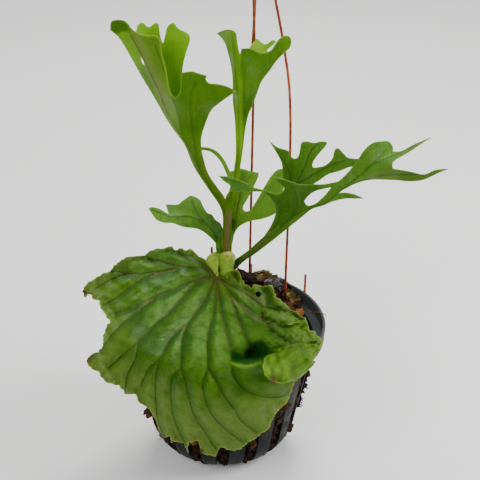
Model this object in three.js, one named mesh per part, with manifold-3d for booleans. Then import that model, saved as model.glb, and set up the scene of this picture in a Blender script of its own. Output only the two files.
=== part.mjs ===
// Staghorn fern in a slotted hanging pot. Millimetres, +Z up.
// The origin is the centre of the pot's flat base. Sheets of leaf are outlined as seen from in
// front: an outline lies on a leaning drawing plane, and a depth lifts each point towards the eye.
import * as THREE from 'three';
import { mergeVertices } from 'three/addons/utils/BufferGeometryUtils.js';
import ManifoldModule from 'manifold-3d';

const wasm = await ManifoldModule();
wasm.setup();

// Pot
const RIM_HEIGHT = 104;
const RIM_RADIUS = 73.6;
const RIM_BAND = 10.5;
const BASE_FLAT = 24;
const BASE_ROUNDING = 30;
const WALL = 2;
const WALL_LEAN = THREE.MathUtils.degToRad(10.7);
const POT_FACETS = 48;
const SLOTS = 16;
const SLOT_TOP = 90;
const SLOT_WIDTH_TOP = 13;
const SLOT_WIDTH_BASE = 8;
const SLOT_START = 31;

// Growing medium and crown
const FIT_GAP = 0.35;
const MEDIUM_LEVEL = 82;
const MOUND_HEIGHT = 20;
const MOUND_SPREAD = 19;
const HEAP_CENTRE = new THREE.Vector2(38, 34);
const HEAP_HEIGHT = 15;
const CROWN_CENTRE = new THREE.Vector3(-3.5, 43, 114);
const CROWN_RADII = new THREE.Vector3(11.5, 13, 22);
const BUD_PLEATS = 12;
const BUD_ROWS = 12;
const BUD_FOLD = 0.06;

// Hanger
const WIRE_RADIUS = 0.95;
const WIRE_SIDES = 6;
const LEG_RADIUS = 61.2;
const HOOK_OUT_RADIUS = 77;
const LEG_CROSSING = SLOT_TOP - WIRE_RADIUS - 0.5;
const KNOT = new THREE.Vector3(19, 22, 400);
const KNOT_RADIUS = 5.6;
const KNOT_HEIGHT = 16;
const HOOK_RADIUS = 12;
const HOOK_WIRE_RADIUS = 1.3;

// Leaf sheets
const BLADE = 0.8;
const RIB = 1.1;
const RIB_REACH = 1.6;
const EDGE_STEP = 4.5;
const MESH_SPACING = 7;
const PLEAT_DEPTH = 5.5;
const PLEAT_REACH = 5;
const MARGIN_WAVE = 1.5;
const MARGIN_REACH = 7;
const REST_GAP = 3.4;

// The leaning plane on which the leaves are drawn
const EYE = new THREE.Vector3(0, -850, 630);
const AIM = new THREE.Vector3(11, 0, 170);
const ROLL = THREE.MathUtils.degToRad(0.8);
const SIGHT = AIM.clone().sub(EYE).normalize();
const LEVEL = SIGHT.clone().cross(new THREE.Vector3(0, 0, 1)).normalize();
const RISE = LEVEL.clone().cross(SIGHT);
const ACROSS = LEVEL.clone().multiplyScalar(Math.cos(ROLL)).addScaledVector(RISE, Math.sin(ROLL));
const UPWARD = RISE.clone().multiplyScalar(Math.cos(ROLL)).addScaledVector(LEVEL, -Math.sin(ROLL));

function place(across, up, depth) {
  const point = AIM.clone().addScaledVector(ACROSS, across).addScaledVector(UPWARD, up);
  const toEye = EYE.clone().sub(point).normalize();
  return point.addScaledVector(toEye, depth);
}

// A smooth depth over the drawing plane through guide points [across, up, depth]
function depthField(guides) {
  const scale = 100;
  const bend = (dx, dy) => {
    const r2 = (dx * dx + dy * dy) / (scale * scale);
    return r2 < 1e-12 ? 0 : 0.5 * r2 * Math.log(r2);
  };
  const n = guides.length;
  const size = n + 3;
  const rows = [];
  for (let i = 0; i < n; i++) {
    const [x, y, depth] = guides[i];
    const row = guides.map((g) => bend(x - g[0], y - g[1]));
    rows.push([...row, 1, x / scale, y / scale, depth]);
  }
  const plain = [() => 1, (g) => g[0] / scale, (g) => g[1] / scale];
  plain.forEach((term) => rows.push([...guides.map(term), 0, 0, 0, 0]));
  for (let col = 0; col < size; col++) {
    let pivot = col;
    for (let r = col + 1; r < size; r++) {
      if (Math.abs(rows[r][col]) > Math.abs(rows[pivot][col])) pivot = r;
    }
    [rows[col], rows[pivot]] = [rows[pivot], rows[col]];
    for (let r = 0; r < size; r++) {
      if (r === col) continue;
      const factor = rows[r][col] / rows[col][col];
      for (let c = col; c <= size; c++) rows[r][c] -= factor * rows[col][c];
    }
  }
  const weight = rows.map((row, i) => row[size] / row[i]);
  return (x, y) => {
    let sum = weight[n] + (weight[n + 1] * x) / scale + (weight[n + 2] * y) / scale;
    guides.forEach((g, i) => {
      sum += weight[i] * bend(x - g[0], y - g[1]);
    });
    return sum;
  };
}

function smoothLine(points, step) {
  const flat = points.map(([x, y]) => new THREE.Vector3(x, y, 0));
  if (flat.length === 2) {
    return samples(new THREE.LineCurve3(flat[0], flat[1]), step);
  }
  return samples(new THREE.CatmullRomCurve3(flat, false, 'centripetal'), step);
}

function samples(curve, step) {
  const count = Math.max(1, Math.round(curve.getLength() / step));
  return curve.getSpacedPoints(count).map((p) => new THREE.Vector2(p.x, p.y));
}

// A closed outline from smooth stretches that meet at corners
function traceLoop(stretches, step) {
  const loop = stretches.flatMap((points) => smoothLine(points, step).slice(0, -1));
  return THREE.ShapeUtils.isClockWise(loop) ? loop.reverse() : loop;
}

function segmentDistance(p, a, b) {
  const dx = b.x - a.x;
  const dy = b.y - a.y;
  const along = ((p.x - a.x) * dx + (p.y - a.y) * dy) / (dx * dx + dy * dy);
  const t = THREE.MathUtils.clamp(along, 0, 1);
  return Math.hypot(p.x - a.x - t * dx, p.y - a.y - t * dy);
}

function lineDistance(p, line, closed = false) {
  let best = Infinity;
  const last = closed ? line.length : line.length - 1;
  for (let i = 0; i < last; i++) {
    best = Math.min(best, segmentDistance(p, line[i], line[(i + 1) % line.length]));
  }
  return best;
}

function insideLoop(p, loop) {
  let inside = false;
  for (let i = 0, j = loop.length - 1; i < loop.length; j = i++) {
    const a = loop[i];
    const b = loop[j];
    const crosses = a.y > p.y !== b.y > p.y;
    if (crosses && p.x < ((b.x - a.x) * (p.y - a.y)) / (b.y - a.y) + a.x) inside = !inside;
  }
  return inside;
}

function turn(a, b, c) {
  return (b.x - a.x) * (c.y - a.y) - (b.y - a.y) * (c.x - a.x);
}

function inCircle(a, b, c, d) {
  const rows = [a, b, c].map((p) => [p.x - d.x, p.y - d.y, (p.x - d.x) ** 2 + (p.y - d.y) ** 2]);
  const [p, q, r] = rows;
  return (
    p[0] * (q[1] * r[2] - q[2] * r[1]) -
    p[1] * (q[0] * r[2] - q[2] * r[0]) +
    p[2] * (q[0] * r[1] - q[1] * r[0])
  );
}

// Triangles over an outline with inner points, their edges flipped until they are even
function triangulate(loop, holes, inner) {
  const points = [...loop, ...holes.flat()];
  const faces = THREE.ShapeUtils.triangulateShape(loop, holes).map((f) => [...f]);
  faces.forEach((f) => {
    if (turn(points[f[0]], points[f[1]], points[f[2]]) < 0) f.reverse();
  });
  for (const p of inner) {
    const host = faces.findIndex(([a, b, c]) =>
      turn(points[a], points[b], p) > 0.2 &&
      turn(points[b], points[c], p) > 0.2 &&
      turn(points[c], points[a], p) > 0.2);
    if (host < 0) continue;
    const [a, b, c] = faces[host];
    const id = points.push(p) - 1;
    faces.splice(host, 1, [a, b, id], [b, c, id], [c, a, id]);
    flipEdges(points, faces);
  }
  for (let pass = 0; pass < 60 && flipEdges(points, faces); pass++);
  return { points, faces };
}

function flipEdges(points, faces) {
  const edges = new Map();
  faces.forEach((face, index) => {
    for (let k = 0; k < 3; k++) {
      edges.set(face[k] * 65536 + face[(k + 1) % 3], [index, face[(k + 2) % 3]]);
    }
  });
  const touched = new Set();
  let changed = false;
  for (const [key, [first, apex]] of edges) {
    const from = Math.floor(key / 65536);
    const to = key % 65536;
    const twin = edges.get(to * 65536 + from);
    if (!twin || from > to || touched.has(first) || touched.has(twin[0])) continue;
    const [a, b, c, d] = [points[from], points[to], points[apex], points[twin[1]]];
    if (inCircle(a, b, c, d) < 1e-6) continue;
    if (turn(c, a, d) < 1e-6 || turn(d, b, c) < 1e-6) continue;
    faces[first] = [from, twin[1], apex];
    faces[twin[0]] = [twin[1], to, apex];
    touched.add(first);
    touched.add(twin[0]);
    changed = true;
  }
  return changed;
}

function solidFrom(positions, triangles) {
  let volume = 0;
  for (const [a, b, c] of triangles) {
    volume += positions[a].dot(positions[b].clone().cross(positions[c]));
  }
  const outward = volume > 0 ? triangles : triangles.map(([a, b, c]) => [a, c, b]);
  return new wasm.Manifold(new wasm.Mesh({
    numProp: 3,
    vertProperties: new Float32Array(positions.flatMap((p) => [p.x, p.y, p.z])),
    triVerts: new Uint32Array(outward.flat()),
  }));
}

function solidOf(geometry) {
  const bare = new THREE.BufferGeometry();
  bare.setAttribute('position', geometry.getAttribute('position'));
  if (geometry.index) bare.setIndex(geometry.index);
  const merged = mergeVertices(bare, 1e-4);
  const place3 = merged.getAttribute('position');
  const positions = [];
  for (let i = 0; i < place3.count; i++) {
    positions.push(new THREE.Vector3().fromBufferAttribute(place3, i));
  }
  const triangles = [];
  for (let i = 0; i < merged.index.count; i += 3) {
    const [a, b, c] = [0, 1, 2].map((k) => merged.index.getX(i + k));
    if (a !== b && b !== c && c !== a) triangles.push([a, b, c]);
  }
  return solidFrom(positions, triangles);
}

// A leaf sheet: the outline lifted to its depths, given its ribs and pleats, then thickened
function leafSheet({
  outline, holes = [], guides, ribs = [], step = EDGE_STEP, spacing = MESH_SPACING,
  relief = () => 0, settle = (p) => p, blade = BLADE, seams = [],
}) {
  const loop = traceLoop(outline, step);
  const holeLoops = holes.map((hole) => traceLoop(hole, step).reverse());
  const ribLines = ribs.map((rib) => smoothLine(rib, spacing));
  const edgeDistance = (p) =>
    Math.min(lineDistance(p, loop, true), ...holeLoops.map((h) => lineDistance(p, h, true)));
  const open = (p, margin) =>
    insideLoop(p, loop) && !holeLoops.some((h) => insideLoop(p, h)) && edgeDistance(p) > margin;
  const inner = [];
  const far = (p, reach) => inner.every((q) => q.distanceTo(p) > reach);
  for (const p of seams.flat()) {
    if (open(p, 0.3 * spacing) && far(p, 0.4 * spacing)) inner.push(p);
  }
  for (const p of ribLines.flat()) {
    if (open(p, 0.35 * spacing) && far(p, 0.5 * spacing)) inner.push(p);
  }
  const box = new THREE.Box2().setFromPoints(loop);
  const rowStep = spacing * Math.sqrt(0.75);
  let row = 0;
  for (let y = box.min.y; y < box.max.y; y += rowStep) {
    row += 1;
    for (let x = box.min.x + (row % 2) * 0.5 * spacing; x < box.max.x; x += spacing) {
      const p = new THREE.Vector2(x, y);
      if (open(p, 0.6 * spacing) && far(p, 0.7 * spacing)) inner.push(p);
    }
  }
  const { points, faces } = triangulate(loop, holeLoops, inner);
  const depth = depthField(guides);
  const ribDistance = (p) => Math.min(Infinity, ...ribLines.map((line) => lineDistance(p, line)));
  const middle = points.map((p) => {
    const lift = relief(p, ribDistance(p), edgeDistance(p));
    return settle(place(p.x, p.y, depth(p.x, p.y) + lift));
  });
  const normals = middle.map(() => new THREE.Vector3());
  for (const [a, b, c] of faces) {
    const ab = middle[b].clone().sub(middle[a]);
    const normal = ab.cross(middle[c].clone().sub(middle[a]));
    [a, b, c].forEach((i) => normals[i].add(normal));
  }
  const count = points.length;
  const front = [];
  const back = [];
  middle.forEach((p, i) => {
    const half = 0.5 * (blade + RIB * Math.exp(-((ribDistance(points[i]) / RIB_REACH) ** 2)));
    const normal = normals[i].normalize();
    front.push(p.clone().addScaledVector(normal, half));
    back.push(p.clone().addScaledVector(normal, -half));
  });
  const triangles = faces.flatMap(([a, b, c]) => [[a, b, c], [a + count, c + count, b + count]]);
  let first = 0;
  for (const ring of [loop, ...holeLoops]) {
    for (let i = 0; i < ring.length; i++) {
      const a = first + i;
      const b = first + ((i + 1) % ring.length);
      triangles.push([a, a + count, b + count], [a, b + count, b]);
    }
    first += ring.length;
  }
  return solidFrom([...front, ...back], triangles);
}

// A closed rod through rings of given width and thickness, rounded over at both ends
function rod(rings, sides, wideAxis) {
  const centres = rings.map((r) => r.at);
  const positions = [];
  rings.forEach((ring, i) => {
    const ahead = centres[Math.min(i + 1, centres.length - 1)].clone();
    const along = ahead.sub(centres[Math.max(i - 1, 0)]).normalize();
    const wide = wideAxis.clone().addScaledVector(along, -wideAxis.dot(along)).normalize();
    const thin = along.clone().cross(wide);
    for (let k = 0; k < sides; k++) {
      const angle = (2 * Math.PI * k) / sides;
      positions.push(ring.at.clone()
        .addScaledVector(wide, 0.5 * ring.width * Math.cos(angle))
        .addScaledVector(thin, 0.5 * ring.thick * Math.sin(angle)));
    }
  });
  const triangles = [];
  for (let i = 0; i + 1 < rings.length; i++) {
    for (let k = 0; k < sides; k++) {
      const a = i * sides + k;
      const b = i * sides + ((k + 1) % sides);
      triangles.push([a, b, a + sides], [b, b + sides, a + sides]);
    }
  }
  const head = positions.push(centres[0].clone()) - 1;
  const tail = positions.push(centres[centres.length - 1].clone()) - 1;
  const lastRing = (rings.length - 1) * sides;
  for (let k = 0; k < sides; k++) {
    triangles.push([head, (k + 1) % sides, k]);
    triangles.push([tail, lastRing + k, lastRing + ((k + 1) % sides)]);
  }
  return solidFrom(positions, triangles);
}

// A leaf stalk along drawing-plane stations [across, up, depth, width, thickness];
// with swell it is the hole that the stalk stands in, a little wider and deeper
function stalk(stations, swell = 0) {
  const rings = stations.map(([across, up, depth, width, thick]) => ({
    at: place(across, up, depth), width: width + 2 * swell, thick: thick + 2 * swell,
  }));
  rings[0].at = beyond(rings[0].at, rings[1].at, swell);
  return rod(rings, 8, ACROSS);
}

// The end of a line moved outwards, away from its neighbour
function beyond(end, neighbour, distance) {
  const outward = end.clone().sub(neighbour).normalize();
  return end.clone().addScaledVector(outward, distance);
}

function join(...solids) {
  return solids.reduce((whole, solid) => whole.add(solid));
}

// Pot: a stepped rim band over a tapered wall and a well rounded base, cut by slots all round
function potWallRadius(height, inset = 0) {
  const centre = BASE_FLAT;
  const radius = BASE_ROUNDING - inset;
  const bendTop = BASE_ROUNDING - radius * Math.sin(WALL_LEAN);
  if (height < bendTop) {
    const drop = Math.min(radius, BASE_ROUNDING - height);
    return centre + Math.sqrt(radius * radius - drop * drop);
  }
  const start = centre + radius * Math.cos(WALL_LEAN);
  return start + (height - bendTop) * Math.tan(WALL_LEAN);
}

function roundingArc(inset, steps) {
  const radius = BASE_ROUNDING - inset;
  const arc = [];
  for (let i = 0; i <= steps; i++) {
    const angle = THREE.MathUtils.lerp(-Math.PI / 2, -WALL_LEAN, i / steps);
    const r = BASE_FLAT + radius * Math.cos(angle);
    arc.push(new THREE.Vector2(r, BASE_ROUNDING + radius * Math.sin(angle)));
  }
  return arc;
}

function lathe(profile, facets) {
  return solidOf(new THREE.LatheGeometry(profile, facets).rotateX(Math.PI / 2));
}

// The pot; with grow it is swollen by that much, as a cutter that leaves a fit gap
function makePot(grow = 0) {
  const ledge = RIM_HEIGHT - RIM_BAND;
  const skin = WALL + grow;
  const profile = [
    new THREE.Vector2(0, -grow),
    ...roundingArc(-grow, 5),
    new THREE.Vector2(potWallRadius(ledge - 1.5, -grow), ledge - 1.5),
    new THREE.Vector2(RIM_RADIUS - 0.8 + grow, ledge),
    new THREE.Vector2(RIM_RADIUS + grow, RIM_HEIGHT - 0.8),
    new THREE.Vector2(RIM_RADIUS - 0.6, RIM_HEIGHT + grow),
    new THREE.Vector2(RIM_RADIUS - skin, RIM_HEIGHT + grow),
    new THREE.Vector2(RIM_RADIUS - skin - 0.6, ledge + skin),
    new THREE.Vector2(potWallRadius(ledge + 0.5, skin), ledge + 0.5),
    ...roundingArc(skin, 4).reverse(),
    new THREE.Vector2(0, skin),
  ];
  let pot = lathe(profile, POT_FACETS);
  const shape = new THREE.Shape([
    new THREE.Vector2(grow - 0.5 * SLOT_WIDTH_BASE, -2),
    new THREE.Vector2(0.5 * SLOT_WIDTH_BASE - grow, -2),
    new THREE.Vector2(0.5 * SLOT_WIDTH_TOP - grow, SLOT_TOP - grow),
    new THREE.Vector2(grow - 0.5 * SLOT_WIDTH_TOP, SLOT_TOP - grow),
  ]);
  for (let i = 0; i < SLOTS; i++) {
    const cutter = new THREE.ExtrudeGeometry(shape, { depth: 50, bevelEnabled: false })
      .translate(0, 0, SLOT_START + grow)
      .rotateX(Math.PI / 2)
      .rotateZ((2 * Math.PI * i) / SLOTS);
    pot = pot.subtract(solidOf(cutter));
  }
  return pot;
}

// Hanger: three legs hooked out through the slots under the rim, tied to one hook above
function polar(degreesFromBack, radius, height) {
  const angle = THREE.MathUtils.degToRad(90 - degreesFromBack);
  return new THREE.Vector3(radius * Math.cos(angle), radius * Math.sin(angle), height);
}

const LEGS = {
  middle: {
    inside: 18.5, outside: 15.6, stub: 4.5, knot: [-2.6, -1.2], via: [[10, 133, 0.24], [9, 84, 0.52]],
  },
  right: {
    inside: 48.6, outside: 52, stub: 11, knot: [2.8, -1.2], via: [[30, 140, 0.24], [35, 98, 0.44]],
  },
  left: {
    inside: -4, outside: -7, stub: 18, knot: [0.6, 2.8], via: [[9, 139, 0.24], [-1, 77, 0.52]],
  },
};

function legPath({ inside, outside, stub, knot, via }) {
  const top = KNOT.clone().add(new THREE.Vector3(knot[0], knot[1], -0.5 * KNOT_HEIGHT + 5));
  const foot = polar(inside, LEG_RADIUS, LEG_CROSSING);
  const between = via.map(([across, up, share]) => {
    const wanted = THREE.MathUtils.lerp(top.y, foot.y, share);
    const sheetPoint = place(across, up, 0);
    const ahead = place(across, up, 1).sub(sheetPoint);
    return sheetPoint.addScaledVector(ahead, (wanted - sheetPoint.y) / ahead.y);
  });
  const upper = new THREE.CatmullRomCurve3([
    top, top.clone().add(new THREE.Vector3(0, 0, -8)), ...between,
    foot.clone().add(new THREE.Vector3(0, 0, 24)), foot.clone().add(new THREE.Vector3(0, 0, 4)),
  ], false, 'centripetal');
  const lower = [
    polar(inside, LEG_RADIUS + 0.3, LEG_CROSSING + 1),
    polar(inside, LEG_RADIUS + 1.6, LEG_CROSSING),
    polar(inside, LEG_RADIUS + 6, LEG_CROSSING),
    polar(outside, HOOK_OUT_RADIUS - 2, LEG_CROSSING),
    polar(outside, HOOK_OUT_RADIUS - 0.5, LEG_CROSSING + 0.9),
    polar(outside, HOOK_OUT_RADIUS, LEG_CROSSING + 3),
    polar(outside, HOOK_OUT_RADIUS + 0.6, RIM_HEIGHT + stub),
  ];
  return [...upper.getSpacedPoints(14), ...lower];
}

// A round wire along points, its section carried along without twist
function wire(points, radius, sides) {
  const positions = [];
  let side = new THREE.Vector3(1, 0.37, 0.11);
  points.forEach((p, i) => {
    const before = p.clone().sub(points[Math.max(i - 1, 0)]).normalize();
    const after = points[Math.min(i + 1, points.length - 1)].clone().sub(p).normalize();
    const along = before.add(after).normalize();
    side = side.clone().addScaledVector(along, -side.dot(along)).normalize();
    const other = along.clone().cross(side);
    for (let k = 0; k < sides; k++) {
      const angle = (2 * Math.PI * k) / sides;
      positions.push(p.clone()
        .addScaledVector(side, radius * Math.cos(angle))
        .addScaledVector(other, radius * Math.sin(angle)));
    }
  });
  const triangles = [];
  for (let i = 0; i + 1 < points.length; i++) {
    for (let k = 0; k < sides; k++) {
      const a = i * sides + k;
      const b = i * sides + ((k + 1) % sides);
      triangles.push([a, b, a + sides], [b, b + sides, a + sides]);
    }
  }
  const last = (points.length - 1) * sides;
  for (let k = 1; k + 1 < sides; k++) {
    triangles.push([0, k + 1, k], [last, last + k, last + k + 1]);
  }
  return solidFrom(positions, triangles);
}

function legHole(leg) {
  const [top, next, ...rest] = legPath(leg);
  return wire([beyond(top, next, FIT_GAP), next, ...rest], WIRE_RADIUS + FIT_GAP, WIRE_SIDES);
}

function makeHook() {
  const knot = lathe([
    new THREE.Vector2(0, -0.5 * KNOT_HEIGHT),
    new THREE.Vector2(KNOT_RADIUS - 0.8, -0.5 * KNOT_HEIGHT),
    new THREE.Vector2(KNOT_RADIUS, -0.5 * KNOT_HEIGHT + 1),
    new THREE.Vector2(KNOT_RADIUS, 0.5 * KNOT_HEIGHT - 2),
    new THREE.Vector2(KNOT_RADIUS - 2.5, 0.5 * KNOT_HEIGHT),
    new THREE.Vector2(0, 0.5 * KNOT_HEIGHT),
  ], 16).translate([KNOT.x, KNOT.y, KNOT.z]);
  const arc = [];
  for (let degrees = 190; degrees >= -40; degrees -= 23) {
    const angle = THREE.MathUtils.degToRad(degrees);
    arc.push(new THREE.Vector3(HOOK_RADIUS * Math.cos(angle), 0, 46 + HOOK_RADIUS * Math.sin(angle)));
  }
  const stem = [[0, 4], [0, 20], [-1.5, 25], [-6.5, 32], [-10.5, 38.5]]
    .map(([x, z]) => new THREE.Vector3(x, 0, z));
  const path = [...stem, ...arc].map((p) => p.add(KNOT));
  let hook = join(knot, wire(path, HOOK_WIRE_RADIUS, 8));
  for (const leg of Object.values(LEGS)) {
    hook = hook.subtract(legHole(leg));
  }
  return hook;
}

// Crown: a pleated bud that the fronds grow from, with a pointed scale on the near side.
// The scale's stations are on the drawing plane, as the stalks' are.
const SCALE = [
  [-14, -15, -56, 7, 6], [-17, -11.5, -49, 8, 6], [-18.9, -14, -44.5, 9.5, 7], [-18, -17.5, -42, 8, 6],
  [-17, -21, -40.5, 4.6, 4.2], [-15.8, -25.4, -40, 1.6, 1.6],
];

function bud(swell) {
  const ball = new THREE.SphereGeometry(1, 2 * BUD_PLEATS, BUD_ROWS).rotateX(Math.PI / 2);
  const spots = ball.getAttribute('position');
  for (let i = 0; i < spots.count; i++) {
    const p = new THREE.Vector3().fromBufferAttribute(spots, i);
    const angle = Math.atan2(p.y, p.x);
    const around = Math.hypot(p.x, p.y);
    const pleat = 1 + BUD_FOLD * around * Math.cos(BUD_PLEATS * angle);
    p.set(p.x * pleat, p.y * pleat, p.z);
    p.multiply(CROWN_RADII.clone().addScalar(swell)).add(CROWN_CENTRE);
    spots.setXYZ(i, p.x, p.y, p.z);
  }
  return solidOf(ball);
}

function crownBody(swell) {
  return join(bud(swell), stalk(SCALE, swell));
}

const CURL = [
  [-10.2, -12, -50, 5, 4.6], [-9.4, -10.4, -48, 5.8, 5], [-7.6, -10, -46, 5, 4.4],
  [-5.3, -10.8, -45.5, 3.4, 3.2], [-4, -13.5, -46, 2.6, 2.6], [-3.6, -16.5, -48, 2.4, 2.4],
];
const CURL_ROOT = [-9.8, -14, -54, 4, 4];

function makeCrown(stalks) {
  let crown = join(crownBody(0), stalk([CURL_ROOT, ...CURL]));
  for (const stations of stalks) {
    crown = crown.subtract(stalk(stations, FIT_GAP));
  }
  return crown;
}

// Growing medium: husk chips and fibre that fill the pot and mound up under the crown
function mediumTop(x, y) {
  const reach2 = (x - CROWN_CENTRE.x) ** 2 + (y - CROWN_CENTRE.y + 3) ** 2;
  const rimFade = 1 - THREE.MathUtils.smoothstep(Math.hypot(x, y), 50, 60);
  const heapReach2 = (x - HEAP_CENTRE.x) ** 2 + (y - HEAP_CENTRE.y) ** 2;
  const mound = MOUND_HEIGHT * Math.exp(-reach2 / (2 * MOUND_SPREAD ** 2));
  const heap = HEAP_HEIGHT * Math.exp(-heapReach2 / (2 * MOUND_SPREAD ** 2));
  const waves = 1.6 * Math.sin(0.21 * x + 0.7) * Math.cos(0.17 * y - 0.4);
  return MEDIUM_LEVEL + Math.max(mound, heap) * rimFade + waves;
}

// Chips that stand out of the medium: [x, y, z, length, width, height, turn, lean] in mm, degrees
const CHIPS = [
  [22, 52, 104, 21, 13, 14, 24, 10],
  [12.5, 56, 103, 10, 9, 20, -30, -14],
  [25, 55, 95, 14, 10, 16, 40, 5],
  [38, 46, 102, 17, 13, 13, 50, -12],
  [47, 29, 98, 16, 11, 9, 70, 20],
  [44, 18, 95, 14, 11, 9, 15, -18],
  [55, 14, 95, 11, 6, 14, 80, 15],
  [50, -2, 89, 14, 10, 9, 35, 15],
  [36, 34, 98, 16, 11, 9, 110, 10],
  [-40, 40, 88, 18, 12, 12, 60, 16],
  [-54, 14, 84, 16, 10, 8, 100, -15],
  [-32, 45, 88, 15, 9, 14, 20, -20],
  [-20, 0, 85, 18, 11, 8, 40, 12],
  [10, -20, 84, 17, 10, 8, 130, -12],
  [-44, -20, 83, 16, 9, 7, 80, 14],
  [30, -44, 83, 15, 10, 7, 150, 12],
];

// Chips that show through the slots: [slot, height, reach past the wall, size]
const SLOT_CHIPS = [
  [-3, 40, 5, 7], [-3, 66, 3, 6], [-2, 30, 4, 6], [-2, 74, 4, 7], [-1, 22, 3, 6], [-1, 50, 2, 6],
  [0, 56, 4, 7], [1, 34, 3, 6], [2, 62, 4, 7], [3, 26, 3, 6], [4, 70, 4, 7], [5, 44, 3, 6],
  [6, 30, 4, 7], [7, 60, 3, 6], [8, 40, 4, 7],
];

function chip([x, y, z, long, wide, high, turnBy, leanBy]) {
  const box = new THREE.BoxGeometry(long, wide, high, 1, 1, 1);
  const corners = box.getAttribute('position');
  for (let i = 0; i < corners.count; i++) {
    const narrow = corners.getZ(i) > 0 ? 0.62 : 1;
    const slip = corners.getX(i) > 0 ? 0.18 * high : 0;
    corners.setXYZ(i, corners.getX(i) * narrow, corners.getY(i) * narrow, corners.getZ(i) - slip);
  }
  box.rotateY(THREE.MathUtils.degToRad(leanBy));
  box.rotateZ(THREE.MathUtils.degToRad(turnBy));
  box.translate(x, y, z);
  return solidOf(box);
}

function slotChip([slot, height, reach, size]) {
  const azimuth = (360 * slot) / SLOTS - 90;
  const radius = potWallRadius(height) + reach - size;
  const angle = THREE.MathUtils.degToRad(azimuth);
  const x = radius * Math.cos(angle);
  const y = radius * Math.sin(angle);
  return chip([x, y, height, 2 * size, 0.8 * size, size, azimuth, 25]);
}

function makeMedium() {
  const inset = WALL + FIT_GAP;
  const levels = [40, 66];
  const profile = [
    new THREE.Vector2(0, inset),
    ...roundingArc(inset, 4),
    ...levels.map((z) => new THREE.Vector2(potWallRadius(z, inset), z)),
    new THREE.Vector2(potWallRadius(MEDIUM_LEVEL - 4, inset), MEDIUM_LEVEL - 4),
  ];
  const rings = 7;
  for (let i = 1; i < rings; i++) {
    const share = 1 - i / rings;
    profile.push(new THREE.Vector2(potWallRadius(MEDIUM_LEVEL, inset) * share, MEDIUM_LEVEL));
  }
  profile.push(new THREE.Vector2(0, MEDIUM_LEVEL));
  const body = new THREE.LatheGeometry(profile, POT_FACETS / 2).rotateX(Math.PI / 2);
  const spots = body.getAttribute('position');
  for (let i = 0; i < spots.count; i++) {
    if (spots.getZ(i) === MEDIUM_LEVEL) {
      spots.setZ(i, mediumTop(spots.getX(i), spots.getY(i)));
    }
  }
  let medium = solidOf(body);
  for (const piece of [...CHIPS.map(chip), ...SLOT_CHIPS.map(slotChip)]) {
    medium = medium.add(piece);
  }
  medium = medium.subtract(makePot(FIT_GAP - 0.05)).subtract(crownBody(FIT_GAP));
  for (const leg of Object.values(LEGS)) {
    medium = medium.subtract(legHole(leg));
  }
  return medium;
}

// Tall frond: one stalk that forks into two fan-shaped horns, each folded like a funnel
const TALL_STALK = [
  [-9, -14, -57, 7, 5], [-9, -8, -52, 6.6, 4.4], [-9, 6, -39, 6, 3.2], [-8, 18, -29, 5.6, 2.6],
  [-7, 28, -19, 4.4, 2.2],
];
const TALL_LEFT_HORN = {
  outline: [
    [
      [-12, -4], [-12, 7], [-13, 21], [-23, 37], [-32, 51], [-39, 67], [-49, 81], [-60, 100],
      [-69, 115], [-78, 131], [-85, 142], [-91, 147],
    ],
    [[-91, 147], [-90, 153], [-83, 154], [-80, 153], [-76, 148]],
    [
      [-76, 148], [-72, 145], [-65, 143], [-59, 143], [-56, 140], [-55, 132], [-52, 120],
      [-50, 109], [-48, 102], [-45, 100], [-42, 104], [-41, 117],
    ],
    [[-41, 117], [-34, 118], [-27, 116], [-23, 115]],
    [[-23, 115], [-24, 113], [-22, 110], [-15, 109], [-8, 107], [-3, 104]],
    [
      [-3, 104], [-13, 97], [-20, 91], [-24, 82], [-27, 72], [-27, 65], [-25, 55], [-22, 46],
      [-16, 37], [-11, 30], [-7, 18], [-6, 6], [-6, -4],
    ],
    [[-6, -4], [-12, -4]],
  ],
  guides: [
    [-9, -8, -52], [-9, 18, -29], [-12, 30, -18], [-24, 39, -9], [-35, 57, 2], [-31, 62, 10],
    [-27, 69, 10], [-54, 90, 21], [-39, 90, 40], [-20, 91, 34], [-69, 113, 35], [-63, 115, 50],
    [-84, 140, 53], [-91, 148, 60], [-83, 153, 60], [-76, 147, 64], [-64, 141, 70],
    [-57, 139, 71], [-56, 119, 60], [-45, 99, 52], [-40, 115, 63], [-24, 113, 67], [-3, 104, 64],
    [-22, 98, 53],
  ],
  ribs: [
    [
      [-9, -2], [-9, 10], [-12, 24], [-20, 36], [-28, 50], [-36, 66], [-48, 85], [-57, 106],
      [-66, 125], [-76, 144],
    ],
    [[-27, 48], [-31, 63], [-34, 84], [-35, 98], [-31, 111]],
    [[-40, 71], [-42, 85], [-45, 95], [-52, 116], [-59, 137]],
  ],
  spacing: 6,
};
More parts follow.
